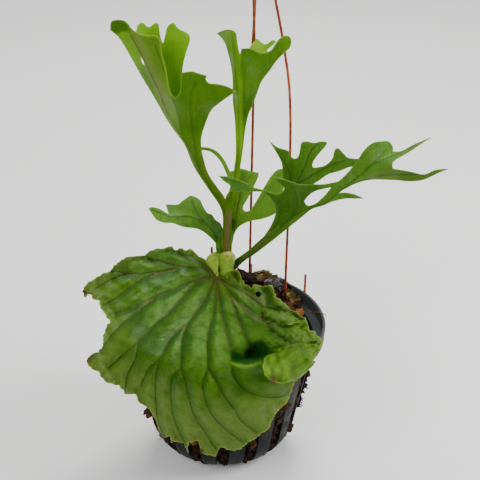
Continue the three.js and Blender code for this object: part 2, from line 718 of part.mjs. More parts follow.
const TALL_RIGHT_HORN = {
  outline: [
    [
      [-9, 16], [-10, 30], [-7, 35], [-5, 43], [-4, 51], [-3, 59], [-3, 70], [-4, 88],
      [-5, 98], [-5, 112], [-6, 121], [-8, 130], [-11, 139], [-16, 145],
    ],
    [[-16, 145], [-11, 147], [-6, 147], [-3, 145], [-2, 139], [-1, 133], [0, 130], [1, 134]],
    [
      [1, 134], [7, 134], [14, 131], [17, 131], [22, 133], [24, 136], [28, 141], [32, 143],
      [35, 142], [36, 139], [35, 135], [31, 131], [26, 126], [21, 119], [15, 111], [12, 103],
      [9, 95], [6, 88], [4, 79], [2, 63], [0, 49], [-1, 31], [-4, 16],
    ],
    [[-4, 16], [-9, 16]],
  ],
  guides: [
    [-7, 17, -32], [-10, 30, -19], [-2, 32, -20], [-4, 48, -4], [-4, 70, 17], [1, 70, 15],
    [-5, 98, 31], [-1, 102, 47], [7, 95, 32], [-7, 126, 45], [-1, 125, 60], [-15, 144, 48],
    [-6, 146, 67], [5, 132, 57], [10, 115, 46], [15, 130, 53], [26, 127, 46], [35, 140, 56],
  ],
  ribs: [
    [[-6, 18], [-6, 35], [-3, 48], [-1, 70], [-1, 98], [-3, 122], [-5, 143]],
    [[1, 50], [4, 77], [7, 95], [15, 112], [30, 134]],
  ],
  spacing: 6,
};
const TALL_LEFT_BACK = {
  outline: [
    [
      [-77, 149], [-73, 146], [-71, 151], [-68, 152], [-64, 149], [-59, 152], [-57, 151],
      [-56, 144], [-54, 138], [-52, 145], [-51, 149], [-47, 152], [-43, 148], [-36, 144],
      [-35, 141], [-38, 130], [-40, 121], [-40, 108], [-37, 94], [-35, 80], [-35, 69],
    ],
    [[-35, 69], [-39, 69], [-46, 84], [-55, 100], [-63, 116], [-71, 133], [-77, 149]],
  ],
  guides: [
    [-76, 148, 63], [-63, 115, 44], [-46, 84, 22], [-37, 69, 2], [-69, 148, 50], [-58, 148, 46],
    [-54, 138, 41], [-48, 148, 48], [-36, 143, 56], [-39, 125, 42], [-45, 100, 26], [-38, 95, 26],
    [-36, 80, 12],
  ],
};
const TALL_RIGHT_BACK = {
  outline: [
    [
      [5, 126], [7, 135], [10, 139], [12, 141], [14, 139], [18, 137], [23, 140], [25, 139],
      [19, 133],
    ],
    [[19, 133], [18, 126], [15, 115], [10, 101], [6, 98]],
    [[6, 98], [4, 108], [5, 126]],
  ],
  guides: [
    [6, 126, 49], [7, 136, 48], [12, 140, 43], [17, 133, 39], [24, 140, 40], [15, 115, 35],
    [8, 99, 36],
  ],
};

function makeTallFrond() {
  return join(
    leafSheet(TALL_LEFT_HORN), leafSheet(TALL_RIGHT_HORN), leafSheet(TALL_LEFT_BACK),
    leafSheet(TALL_RIGHT_BACK), stalk(TALL_STALK),
  );
}

// Rear frond: a smaller fork behind the tall stalk, with one narrow curling lobe
const REAR_STALK = [
  [-8, -13, -69, 5, 4.4], [-8, -8, -64, 5, 4], [-7, 4, -50, 4.4, 3], [-4, 14, -40, 3.6, 2.2],
];
const REAR_FROND = {
  outline: [
    [
      [-10, -5], [-9, 4], [-8, 18], [-7, 31], [-7, 40], [-9, 45], [-13, 54], [-17, 59],
      [-21, 62], [-26, 63], [-31, 62],
    ],
    [[-31, 62], [-31, 64]],
    [[-31, 64], [-26, 65], [-20, 64], [-15, 61], [-11, 56], [-7, 48]],
    [[-7, 48], [-3, 49], [0, 50], [8, 48], [13, 47]],
    [
      [13, 47], [13, 45], [10, 38], [6, 30], [2, 22], [4, 20], [7, 21], [10, 25], [14, 32],
      [17, 37], [22, 45], [26, 49], [31, 50],
    ],
    [
      [31, 50], [32, 44], [30, 34], [28, 26], [25, 19], [16, 15], [6, 13], [-1, 9], [-4, 4],
      [-5, -1], [-6, -5],
    ],
    [[-6, -5], [-10, -5]],
  ],
  guides: [
    [-8, -8, -64], [-8, 18, -38], [-7, 42, -20], [1, 35, -23], [13, 47, -13], [2, 20, -32],
    [15, 24, -25], [31, 48, -12], [24, 20, -26], [0, 10, -43], [-17, 61, -9], [-31, 63, -6],
  ],
  ribs: [
    [[-7, 2], [-5, 8], [1, 16], [13, 26], [22, 38], [29, 48]],
    [[1, 16], [-2, 28], [2, 38], [8, 46]],
  ],
  spacing: 6,
};

// Right frond: a long stalk into a cupped blade, the near half seen from below
const RIGHT_STALK = [
  [-5, -19, -60, 6, 5], [-1, -15, -56, 5.6, 4.6], [7, -9, -46, 5, 3.8], [17, 0, -32, 5, 3.2],
  [29, 10, -17, 4.2, 2.6],
];
const RIGHT_NEAR = {
  outline: [
    [[4, -10], [7, -7], [17, 3], [23, 13], [25, 21], [22, 29], [16, 34]],
    [[16, 34], [5, 34], [-8, 34]],
    [[-8, 34], [-7, 38], [-11, 41], [-15, 45]],
    [
      [-15, 45], [-6, 44], [2, 41], [9, 37], [16, 35], [22, 33], [27, 32], [30, 34], [31, 37],
    ],
    [[31, 37], [27, 40], [23, 44]],
    [[23, 44], [29, 43], [35, 41], [42, 39], [50, 39], [59, 39], [69, 41]],
    [[69, 41], [77, 49], [83, 57], [87, 63], [93, 68], [99, 69], [104, 69], [107, 65], [107, 62]],
    [[107, 62], [112, 62], [122, 67], [134, 72]],
    [[134, 72], [119, 62], [107, 54], [107, 50]],
    [[107, 50], [119, 48], [129, 46], [137, 49], [146, 50]],
    [
      [146, 50], [137, 46], [128, 42], [119, 41], [107, 42], [90, 42], [80, 39], [74, 36],
      [69, 33],
    ],
    [[69, 33], [75, 33], [80, 32], [87, 29]],
    [
      [87, 29], [81, 29], [74, 29], [65, 27], [58, 24], [51, 22], [42, 15], [32, 7], [22, -1],
      [10, -10], [7, -12],
    ],
    [[7, -12], [4, -10]],
  ],
  holes: [[
    [[45, 27], [47, 30], [52, 34], [59, 36], [64, 37]],
    [[64, 37], [60, 32], [56, 28], [52, 25], [47, 24], [45, 27]],
  ]],
  guides: [
    [1, -13, -53], [17, 0, -32], [32, 10, -15], [24, 21, -10], [15, 34, 7], [4, 39, 15],
    [-15, 45, 15], [-7, 34, 15], [27, 32, 14], [42, 28, 12], [36, 38, 27], [24, 43, 26],
    [50, 38, 28], [67, 40, 40], [50, 22, 6], [63, 27, 19], [87, 29, 46], [74, 31, 32],
    [77, 42, 44], [78, 50, 45], [88, 56, 53], [99, 69, 49], [107, 60, 51], [134, 72, 46],
    [92, 48, 59], [107, 52, 59], [92, 43, 49], [111, 43, 52], [129, 45, 63], [146, 50, 71],
  ],
  ribs: [
    [[5, -10], [17, 0], [29, 10], [39, 21], [40, 31], [38, 36]],
    [[29, 10], [42, 20], [50, 23], [62, 28], [70, 35], [81, 43], [92, 52], [102, 63]],
    [[17, 0], [27, 13], [28, 22], [22, 31], [7, 38], [-10, 43]],
    [[70, 35], [84, 41], [102, 46], [126, 46], [144, 50]],
    [[92, 52], [108, 59], [132, 71]],
  ],
  spacing: 6,
};
const RIGHT_FAR = {
  outline: [
    [[31, 35], [30, 45], [29, 54], [25, 62], [20, 70]],
    [
      [20, 70], [26, 65], [34, 62], [36, 58], [39, 57], [41, 59], [42, 64], [43, 68], [46, 69],
      [52, 68], [57, 69], [61, 68], [55, 60], [51, 54], [51, 51], [55, 51], [59, 52], [63, 55],
      [65, 58], [66, 62], [67, 64], [69, 64], [72, 61], [75, 58], [79, 57], [85, 57],
    ],
    [
      [85, 57], [84, 52], [77, 51], [69, 48], [62, 46], [56, 42], [50, 38], [45, 34], [43, 28],
      [41, 22], [36, 19],
    ],
    [[36, 19], [32, 18], [31, 26], [31, 35]],
  ],
  guides: [
    [35, 20, -4], [31, 34, -6], [41, 22, 2], [43, 31, 3], [41, 43, 0], [29, 54, 8], [20, 69, 23],
    [39, 56, 8], [53, 68, 22], [61, 68, 25], [52, 50, 11], [69, 63, 28], [70, 50, 23],
    [85, 56, 36], [56, 42, 11],
  ],
  ribs: [
    [[35, 20], [39, 38], [45, 50], [50, 63], [55, 68]],
    [[37, 28], [34, 49], [28, 59], [22, 68]],
    [[39, 38], [55, 48], [67, 54], [74, 56]],
  ],
  spacing: 6,
};

function makeRightFrond() {
  return join(leafSheet(RIGHT_NEAR), leafSheet(RIGHT_FAR), stalk(RIGHT_STALK));
}

// Left frond: a short broad blade
const LEFT_STALK = [
  [-17, -15, -60, 5, 4.6], [-16, -9, -55, 5, 3.8], [-15, -3, -50, 4.6, 2.8], [-15, 2, -46, 4, 2],
];
const LEFT_FROND = {
  outline: [
    [[-64, 22], [-62, 23], [-57, 22], [-50, 18]],
    [[-50, 18], [-52, 25]],
    [
      [-52, 25], [-43, 25], [-41, 27], [-38, 29], [-35, 31], [-31, 30], [-28, 28], [-26, 24],
      [-23, 19], [-20, 18], [-17, 14], [-14, 12], [-12, 7], [-12, -2], [-12, -7],
    ],
    [[-12, -7], [-16, -7]],
    [
      [-16, -7], [-16, -4], [-20, 1], [-26, 6], [-31, 8], [-39, 9], [-48, 12], [-52, 12],
      [-58, 14], [-62, 19], [-64, 22],
    ],
  ],
  guides: [
    [-14, -9, -55], [-15, 0, -48], [-12, 10, -46], [-26, 15, -30], [-34, 30, -33], [-34, 9, -25],
    [-52, 24, -25], [-64, 22, -10], [-52, 13, -15], [-38, 18, -25],
  ],
  ribs: [
    [[-14, -5], [-17, 2], [-24, 11], [-35, 16], [-49, 16], [-62, 21]],
    [[-24, 11], [-31, 20], [-34, 28]],
  ],
  spacing: 6,
};

// Shield frond: the broad pleated frond that lies over the pot's mouth and down its front
const SHIELD_FROND = {
  outline: [
    [
      [-16, -24], [-20, -18], [-24, -14], [-29, -11], [-35, -6], [-38, -7], [-42, -6], [-45, -7],
      [-49, -4], [-54, -6], [-59, -6], [-64, -8], [-67, -11],
    ],
    [[-67, -11], [-73, -11], [-79, -12], [-84, -15], [-88, -18], [-91, -22]],
    [[-91, -22], [-95, -23], [-102, -27], [-108, -31], [-110, -36], [-109, -40]],
    [[-109, -40], [-105, -38], [-103, -41], [-99, -42], [-98, -47], [-95, -51], [-91, -57]],
    [[-91, -57], [-94, -62], [-96, -68], [-96, -74]],
    [[-96, -74], [-100, -79], [-103, -79]],
    [
      [-103, -79], [-106, -82], [-107, -86], [-104, -90], [-99, -92], [-97, -96], [-94, -99],
      [-89, -101], [-84, -103], [-80, -108], [-76, -108], [-73, -108],
    ],
    [[-73, -108], [-71, -113], [-64, -118], [-59, -126], [-56, -134], [-53, -138], [-49, -137]],
    [[-49, -137], [-47, -141], [-39, -142], [-38, -146], [-36, -149]],
    [[-36, -149], [-36, -142], [-34, -141], [-29, -141], [-28, -145], [-27, -149]],
    [[-27, -149], [-22, -151], [-17, -151], [-15, -147]],
    [
      [-15, -147], [-12, -145], [-8, -147], [-3, -147], [2, -145], [6, -141], [11, -139],
      [15, -135], [20, -132], [22, -127], [24, -123], [29, -117], [33, -113], [35, -109],
      [38, -100], [41, -97], [45, -94],
    ],
    [[45, -94], [49, -90], [53, -81], [56, -76], [58, -71], [55, -68], [51, -63]],
    [
      [51, -63], [49, -64], [48, -60], [46, -55], [43, -53], [39, -50], [35, -48], [32, -45],
      [28, -42], [25, -39], [24, -35], [22, -32], [16, -32], [10, -31], [8, -34],
    ],
    [[8, -34], [3, -30], [1, -27], [-3, -25], [-6, -23], [-10, -25]],
    [[-10, -25], [-13, -26], [-16, -24]],
  ],
  holes: [
    [[[11, -37], [13, -36], [15, -38], [13, -40], [11, -39], [11, -37]]],
    [[[15, -50], [17, -51], [17, -54], [15, -55], [15, -50]]],
  ],
  guides: [
    [-16, -25, -45], [-22, -15, -52], [-29, -11, -60], [-42, -6, -67], [-54, -6, -64],
    [-67, -11, -61], [-84, -15, -56], [-92, -21, -52], [-102, -27, -48], [-109, -33, -43],
    [-109, -39, -39], [-99, -44, -33], [-91, -57, -20], [-96, -72, -4], [-106, -83, 0],
    [-99, -92, 6], [-84, -103, 14], [-71, -113, 17], [-53, -137, 6], [-28, -147, 4],
    [1, -144, 9], [20, -132, 18], [35, -109, 23], [41, -97, 25], [-63, -35, -42],
    [-35, -35, -43], [-77, -49, -27], [-56, -56, -13], [-28, -55, -10], [-84, -67, -3],
    [-76, -76, 12], [-63, -85, 25], [-46, -91, 37], [-26, -95, 41], [-5, -95, 42],
    [16, -93, 38], [34, -88, 27], [-61, -71, 7], [-37, -83, 29], [-22, -85, 34],
    [-13, -70, 14], [-82, -82, 8], [-13, -107, 41], [0, -126, 28], [-35, -122, 25],
    [-56, -108, 26], [4, -42, -37], [-5, -25, -46], [16, -34, -42], [24, -42, -33],
    [15, -59, -19], [7, -78, 12], [0, -87, 35], [21, -83, 20], [38, -50, -28],
    [46, -56, -20], [35, -66, -8], [49, -64, -11], [57, -71, 0], [53, -81, 13],
    [45, -94, 16], [35, -80, 15],
  ],
  ribs: [
    [[-18, -23], [-24, -18], [-31, -14], [-40, -10], [-48, -7]],
    [[-18, -24], [-27, -20], [-40, -19], [-53, -16], [-67, -12]],
    [[-40, -19], [-49, -21], [-60, -23], [-73, -24], [-90, -22]],
    [[-45, -21], [-53, -23], [-66, -27], [-76, -33], [-85, -40], [-95, -46]],
    [[-70, -24], [-81, -25], [-92, -29], [-102, -35]],
    [[-17, -25], [-26, -27], [-40, -32], [-53, -38], [-63, -42], [-73, -47], [-87, -52]],
    [[-60, -41], [-66, -46], [-76, -54], [-85, -62], [-95, -74], [-104, -82]],
    [
      [-17, -25], [-31, -31], [-40, -40], [-49, -50], [-58, -58], [-65, -65], [-71, -72],
      [-81, -80], [-92, -90],
    ],
    [[-71, -72], [-73, -84], [-78, -94], [-80, -105]],
    [
      [-17, -26], [-22, -38], [-28, -47], [-36, -58], [-43, -64], [-49, -70], [-56, -83],
      [-64, -91], [-69, -102],
    ],
    [[-56, -83], [-58, -92], [-59, -108], [-57, -126], [-53, -137]],
    [
      [-31, -51], [-38, -62], [-41, -74], [-42, -90], [-47, -96], [-48, -108], [-47, -121],
      [-43, -132], [-36, -146],
    ],
    [[-42, -90], [-38, -99], [-35, -112], [-31, -124], [-25, -133], [-17, -146]],
    [
      [-16, -27], [-17, -38], [-18, -48], [-21, -60], [-23, -71], [-23, -90], [-26, -101],
      [-24, -112], [-20, -121], [-11, -131], [2, -141],
    ],
    [[-23, -90], [-16, -100], [-10, -110], [-4, -118], [0, -125], [11, -134]],
    [[-16, -27], [-14, -47], [-9, -70], [-6, -84], [-5, -95], [6, -106], [20, -110], [34, -108]],
    [[-15, -27], [-8, -36], [-4, -49], [1, -63], [5, -72], [10, -78]],
    [[-13, -27], [-8, -36], [-1, -45], [7, -52], [16, -57], [22, -60], [31, -62]],
    [[18, -58], [25, -67], [32, -71], [41, -75], [50, -78]],
    [[-13, -27], [-7, -32], [1, -36], [7, -40], [13, -44], [18, -48], [29, -50], [42, -55]],
  ],
  relief: shieldRelief,
  settle: layOverPot,
  seams: [
    ringSeam(RIM_RADIUS + REST_GAP, RIM_HEIGHT + REST_GAP),
    ringSeam(RIM_RADIUS + REST_GAP, RIM_HEIGHT - 4),
    ringSeam(RIM_RADIUS - 5, RIM_HEIGHT + REST_GAP),
  ],
  step: 4.5,
  spacing: 6,
};

// The shield's right end rolls over towards the viewer and shows its underside
const ROLLED_TONGUE = {
  outline: [
    [[22, -80], [18, -82], [16, -88], [18, -95], [25, -100], [32, -100], [38, -98]],
    [[38, -98], [45, -94], [49, -90], [53, -81], [56, -76], [58, -71]],
    [[58, -71], [51, -66], [42, -67], [34, -71], [28, -76], [22, -80]],
  ],
  guides: [
    [22, -80, 14], [18, -82, 26], [16, -88, 42], [18, -95, 47], [25, -100, 48], [32, -100, 45],
    [38, -98, 40], [45, -94, 27], [49, -90, 23], [53, -81, 15], [56, -76, 8], [58, -71, -4],
    [51, -66, -18], [42, -67, -17], [34, -71, -9], [28, -76, 2], [42, -75, 8], [34, -81, 26],
    [30, -90, 43], [40, -86, 31], [47, -80, 20],
  ],
  ribs: [],
  relief: shieldRelief,
  settle: layOverPot,
  spacing: 6,
};

// A small ear of the shield's upper edge that curls up beside the crown
const CURLED_EAR = {
  outline: [
    [[-10, -28], [-8, -23], [-4, -21], [-1, -22], [1, -27], [0, -31]],
    [[0, -31], [-5, -30], [-10, -28]],
  ],
  guides: [
    [-10, -28, -45], [-8, -23, -42], [-4, -21, -38], [-1, -22, -37], [1, -27, -39], [0, -31, -42],
    [-5, -29, -44], [-4, -25, -43],
  ],
  ribs: [],
  spacing: 4,
  step: 3,
};

// Panels rise between the ribs, the margin waves, and a hollow sinks behind the rolled end
const HOLLOW = { across: 6, up: -83, depth: 32, wide: 12, high: 8, sharp: 1.2 };

function shieldRelief(p, ribDistance, edgeDistance) {
  const puff = PLEAT_DEPTH * (1 - Math.exp(-ribDistance / PLEAT_REACH));
  const wave = Math.sin(0.55 * p.x + 0.3 * p.y) * Math.exp(-((edgeDistance / MARGIN_REACH) ** 2));
  const aside = (p.x - HOLLOW.across) / HOLLOW.wide;
  const above = p.y - HOLLOW.up - 0.15 * (p.x - HOLLOW.across);
  const share = above / (above > 0 ? HOLLOW.high : HOLLOW.sharp);
  const hollow = HOLLOW.depth * Math.exp(-aside * aside - share * share);
  return puff + MARGIN_WAVE * wave - hollow;
}

// Where a ring round the pot crosses the drawing plane as seen by the eye
function ringSeam(radius, height) {
  const seam = [];
  for (let degrees = -200; degrees <= 20; degrees += 4) {
    const angle = THREE.MathUtils.degToRad(degrees);
    const spot = new THREE.Vector3(radius * Math.cos(angle), radius * Math.sin(angle), height);
    const ray = spot.sub(EYE);
    const reach = AIM.clone().sub(EYE).dot(SIGHT) / ray.dot(SIGHT);
    const onPlane = ray.multiplyScalar(reach).add(EYE).sub(AIM);
    seam.push(new THREE.Vector2(onPlane.dot(ACROSS), onPlane.dot(UPWARD)));
  }
  return seam;
}

// The shield lies on the medium, rises to the rim, folds over it and hangs clear of the wall
function layOverPot(p) {
  const radius = Math.hypot(p.x, p.y);
  const overRim = RIM_HEIGHT + REST_GAP;
  const innerRim = RIM_RADIUS - 8;
  if (radius < innerRim) {
    const rise = THREE.MathUtils.smoothstep(radius, 50, innerRim);
    const ground = THREE.MathUtils.lerp(mediumTop(p.x, p.y) + REST_GAP, overRim, rise);
    p.z = Math.max(p.z, ground);
    return p;
  }
  const wall = p.z > SLOT_TOP ? RIM_RADIUS : potWallRadius(Math.max(p.z, 0)) + 4;
  const besideRim = wall + REST_GAP;
  if (radius >= besideRim || p.z >= overRim) return p;
  const core = RIM_HEIGHT - 12;
  const outward = (besideRim - innerRim) / (radius - innerRim + 0.01);
  const upward = p.z > core ? (overRim - core) / (p.z - core) : Infinity;
  const push = Math.min(outward, upward);
  const settled = (innerRim + (radius - innerRim) * push) / radius;
  const height = p.z > core ? core + (p.z - core) * push : p.z;
  return p.set(p.x * settled, p.y * settled, height);
}

function makeShield() {
  const sheets = join(leafSheet(SHIELD_FROND), leafSheet(ROLLED_TONGUE), leafSheet(CURLED_EAR));
  return sheets.subtract(crownBody(FIT_GAP)).subtract(stalk([CURL_ROOT, ...CURL], FIT_GAP));
}

// The assembled object
const fern = new THREE.Group();

function show(name, solid, color, roughness, metalness = 0) {
  const mesh = solid.getMesh();
  const geometry = new THREE.BufferGeometry();
  geometry.setAttribute('position', new THREE.BufferAttribute(mesh.vertProperties, 3));
  geometry.setIndex(new THREE.BufferAttribute(mesh.triVerts, 1));
  geometry.computeVertexNormals();
  const material = new THREE.MeshStandardMaterial({ color, roughness, metalness });
  const part = new THREE.Mesh(geometry, material);
  part.name = name;
  fern.add(part);
}

show('pot', makePot(), 0x3b3d3c, 0.45);
show('growing_medium', makeMedium(), 0x4a3323, 0.95);
for (const [name, leg] of Object.entries(LEGS)) {
  show(`hanger_leg_${name}`, wire(legPath(leg), WIRE_RADIUS, WIRE_SIDES), 0x9c4a1e, 0.5, 0.6);
}
show('hanger_hook', makeHook(), 0x9c4a1e, 0.5, 0.6);
show('crown', makeCrown([TALL_STALK, REAR_STALK, RIGHT_STALK, LEFT_STALK]), 0x9aa84a, 0.7);
show('shield_frond', makeShield(), 0x4f7d24, 0.45);
show('tall_frond', makeTallFrond(), 0x5f9a1c, 0.45);
show('rear_frond', join(leafSheet(REAR_FROND), stalk(REAR_STALK)), 0x4a8a1e, 0.45);
show('right_frond', makeRightFrond(), 0x55852f, 0.45);
show('left_frond', join(leafSheet(LEFT_FROND), stalk(LEFT_STALK)), 0x5a8f24, 0.45);

export default fern;
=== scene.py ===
import functools
import math

import bpy
import bmesh
import numpy as np
from mathutils import Matrix, Vector
from mathutils.geometry import delaunay_2d_cdt


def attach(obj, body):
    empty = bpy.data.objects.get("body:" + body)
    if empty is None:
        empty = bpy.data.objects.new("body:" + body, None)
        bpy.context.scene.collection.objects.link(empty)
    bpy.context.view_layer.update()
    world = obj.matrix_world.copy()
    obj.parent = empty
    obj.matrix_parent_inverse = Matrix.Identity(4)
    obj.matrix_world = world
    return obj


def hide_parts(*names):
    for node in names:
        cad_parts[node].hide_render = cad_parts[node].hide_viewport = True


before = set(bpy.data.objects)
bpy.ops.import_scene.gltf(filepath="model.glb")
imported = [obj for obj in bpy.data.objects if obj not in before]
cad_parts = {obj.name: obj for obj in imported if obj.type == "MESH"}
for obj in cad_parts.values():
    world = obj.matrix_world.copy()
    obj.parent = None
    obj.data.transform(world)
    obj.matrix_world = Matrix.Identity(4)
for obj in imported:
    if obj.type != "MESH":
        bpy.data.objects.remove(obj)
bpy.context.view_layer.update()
MM = 0.001
FULL_TURN = 2 * math.pi


def unit(v):
    """A vector, or each row of vectors, at length 1."""
    return v / np.linalg.norm(v, axis=-1, keepdims=True)


# The leaning plane on which the leaves are drawn, in millimetres, and the eye that sees it
EYE = np.array([0.0, -850.0, 630.0])
AIM = np.array([11.0, 0.0, 170.0])
ROLL = math.radians(0.8)
LENS = 103.56
SIGHT = unit(AIM - EYE)
LEVEL = unit(np.cross(SIGHT, [0, 0, 1]))
RISE = np.cross(LEVEL, SIGHT)
ACROSS = LEVEL * math.cos(ROLL) + RISE * math.sin(ROLL)
UPWARD = RISE * math.cos(ROLL) - LEVEL * math.sin(ROLL)

# Sizes shared with the solids, in mm
RIM_HEIGHT = 104.0
RIM_RADIUS = 73.6
RIM_BAND = 10.5
LEDGE = RIM_HEIGHT - RIM_BAND
BASE_FLAT = 24.0
BASE_ROUNDING = 30.0
WALL = 2.0
WALL_LEAN = math.radians(10.7)
SLOTS = 16
SLOT_TOP = 90.0
SLOT_WIDTH_TOP = 13.0
SLOT_WIDTH_BASE = 8.0
SLOT_START = 31.0
MEDIUM_LEVEL = 82.0
MOUND_HEIGHT = 20.0
MOUND_SPREAD = 19.0
HEAP_CENTRE = np.array([38.0, 34.0])
HEAP_HEIGHT = 15.0
CROWN_CENTRE = np.array([-3.5, 43.0, 114.0])
CROWN_RADII = np.array([11.5, 13.0, 22.0])
WIRE_RADIUS = 0.95
LEG_RADIUS = 61.2
HOOK_OUT_RADIUS = 77.0
LEG_CROSSING = SLOT_TOP - WIRE_RADIUS - 0.5
KNOT = np.array([19.0, 22.0, 400.0])
KNOT_RADIUS = 5.6
KNOT_HEIGHT = 16.0
HOOK_RADIUS = 12.0
HOOK_WIRE_RADIUS = 1.3
PLEAT_DEPTH = 5.5
PLEAT_REACH = 5.0
MARGIN_WAVE = 1.5
MARGIN_REACH = 7.0
REST_GAP = 3.4
INNER_RIM = RIM_RADIUS - 8
RIM_CORE = RIM_HEIGHT - 12
SHIELD_RISE_START = 50.0
SHIELD_WALL_GAP = 4.0
MOUND_FADE = (50.0, 60.0)
HOLLOW = {"across": 6, "up": -83, "depth": 32, "wide": 12, "high": 8, "sharp": 1.2}

# Sizes of the leaf sheets, in mm
OUTLINE_STEP = 1.0
NET_STEP = 1.1
BLADE = 0.8
RIB_SWELL = 1.1
NO_RIB = 50.0
RUN_GAP = 0.7 * NET_STEP
GRID_GAP = 0.6 * NET_STEP
RIB_GAP = 0.45 * NET_STEP

# The forms of the plant on the drawing plane, in mm. Lines are written as their numbers in turn:
# across, up in an outline or rib; across, up, depth in the guides; and width, thickness after these
# in a stalk. Each stretch of an outline starts at the corner where the one before it ends.

# Tall frond: a stalk, two horns folded like funnels, and the backs of the funnels
TALL_STALK = [
    -9,-14,-57,7,5, -9,-8,-52,6.6,4.4, -9,6,-39,6,3.2, -8,18,-29,5.6,2.6, -7,28,-19,4.4,2.2,
]
TALL_LEFT_HORN = {
    "outline": [
        [-12,7, -13,21, -23,37, -32,51, -39,67, -49,81, -60,100, -69,115, -78,131, -85,142, -91,147],
        [-90,153, -83,154, -80,153, -76,148],
        [-72,145, -65,143, -59,143, -56,140, -55,132, -52,120, -50,109, -48,102, -45,100, -42,104,
         -41,117],
        [-34,118, -27,116, -23,115],
        [-24,113, -22,110, -15,109, -8,107, -3,104],
        [-13,97, -20,91, -24,82, -27,72, -27,65, -25,55, -22,46, -16,37, -11,30, -7,18, -6,6, -6,-4],
        [-12,-4],
    ],
    "guides": [
        -9,-8,-52, -9,18,-29, -12,30,-18, -24,39,-9, -35,57,2, -31,62,10, -27,69,10, -54,90,21,
        -39,90,40, -20,91,34, -69,113,35, -63,115,50, -84,140,53, -91,148,60, -83,153,60, -76,147,64,
        -64,141,70, -57,139,71, -56,119,60, -45,99,52, -40,115,63, -24,113,67, -3,104,64, -22,98,53,
    ],
    "ribs": [
        [-9,-2, -9,10, -12,24, -20,36, -28,50, -36,66, -48,85, -57,106, -66,125, -76,144],
        [-27,48, -31,63, -34,84, -35,98, -31,111],
        [-40,71, -42,85, -45,95, -52,116, -59,137],
    ],
}
TALL_RIGHT_HORN = {
    "outline": [
        [-10,30, -7,35, -5,43, -4,51, -3,59, -3,70, -4,88, -5,98, -5,112, -6,121, -8,130, -11,139,
         -16,145],
        [-11,147, -6,147, -3,145, -2,139, -1,133, 0,130, 1,134],
        [7,134, 14,131, 17,131, 22,133, 24,136, 28,141, 32,143, 35,142, 36,139, 35,135, 31,131, 26,126,
         21,119, 15,111, 12,103, 9,95, 6,88, 4,79, 2,63, 0,49, -1,31, -4,16],
        [-9,16],
    ],
    "guides": [
        -7,17,-32, -10,30,-19, -2,32,-20, -4,48,-4, -4,70,17, 1,70,15, -5,98,31, -1,102,47, 7,95,32,
        -7,126,45, -1,125,60, -15,144,48, -6,146,67, 5,132,57, 10,115,46, 15,130,53, 26,127,46,
        35,140,56,
    ],
    "ribs": [
        [-6,18, -6,35, -3,48, -1,70, -1,98, -3,122, -5,143],
        [1,50, 4,77, 7,95, 15,112, 30,134],
    ],
}
TALL_LEFT_BACK = {
    "outline": [
        [-73,146, -71,151, -68,152, -64,149, -59,152, -57,151, -56,144, -54,138, -52,145, -51,149,
         -47,152, -43,148, -36,144, -35,141, -38,130, -40,121, -40,108, -37,94, -35,80, -35,69],
        [-39,69, -46,84, -55,100, -63,116, -71,133, -77,149],
    ],
    "guides": [
        -76,148,63, -63,115,44, -46,84,22, -37,69,2, -69,148,50, -58,148,46, -54,138,41, -48,148,48,
        -36,143,56, -39,125,42, -45,100,26, -38,95,26, -36,80,12,
    ],
}
TALL_RIGHT_BACK = {
    "outline": [
        [7,135, 10,139, 12,141, 14,139, 18,137, 23,140, 25,139, 19,133],
        [18,126, 15,115, 10,101, 6,98],
        [4,108, 5,126],
    ],
    "guides": [
        6,126,49, 7,136,48, 12,140,43, 17,133,39, 24,140,40, 15,115,35, 8,99,36,
    ],
}

# Rear frond
REAR_STALK = [
    -8,-13,-69,5,4.4, -8,-8,-64,5,4, -7,4,-50,4.4,3, -4,14,-40,3.6,2.2,
]
REAR_FROND = {
    "outline": [
        [-9,4, -8,18, -7,31, -7,40, -9,45, -13,54, -17,59, -21,62, -26,63, -31,62],
        [-31,64],
        [-26,65, -20,64, -15,61, -11,56, -7,48],
        [-3,49, 0,50, 8,48, 13,47],
        [13,45, 10,38, 6,30, 2,22, 4,20, 7,21, 10,25, 14,32, 17,37, 22,45, 26,49, 31,50],
        [32,44, 30,34, 28,26, 25,19, 16,15, 6,13, -1,9, -4,4, -5,-1, -6,-5],
        [-10,-5],
    ],
    "guides": [
        -8,-8,-64, -8,18,-38, -7,42,-20, 1,35,-23, 13,47,-13, 2,20,-32, 15,24,-25, 31,48,-12, 24,20,-26,
        0,10,-43, -17,61,-9, -31,63,-6,
    ],
    "ribs": [
        [-7,2, -5,8, 1,16, 13,26, 22,38, 29,48],
        [1,16, -2,28, 2,38, 8,46],
    ],
}

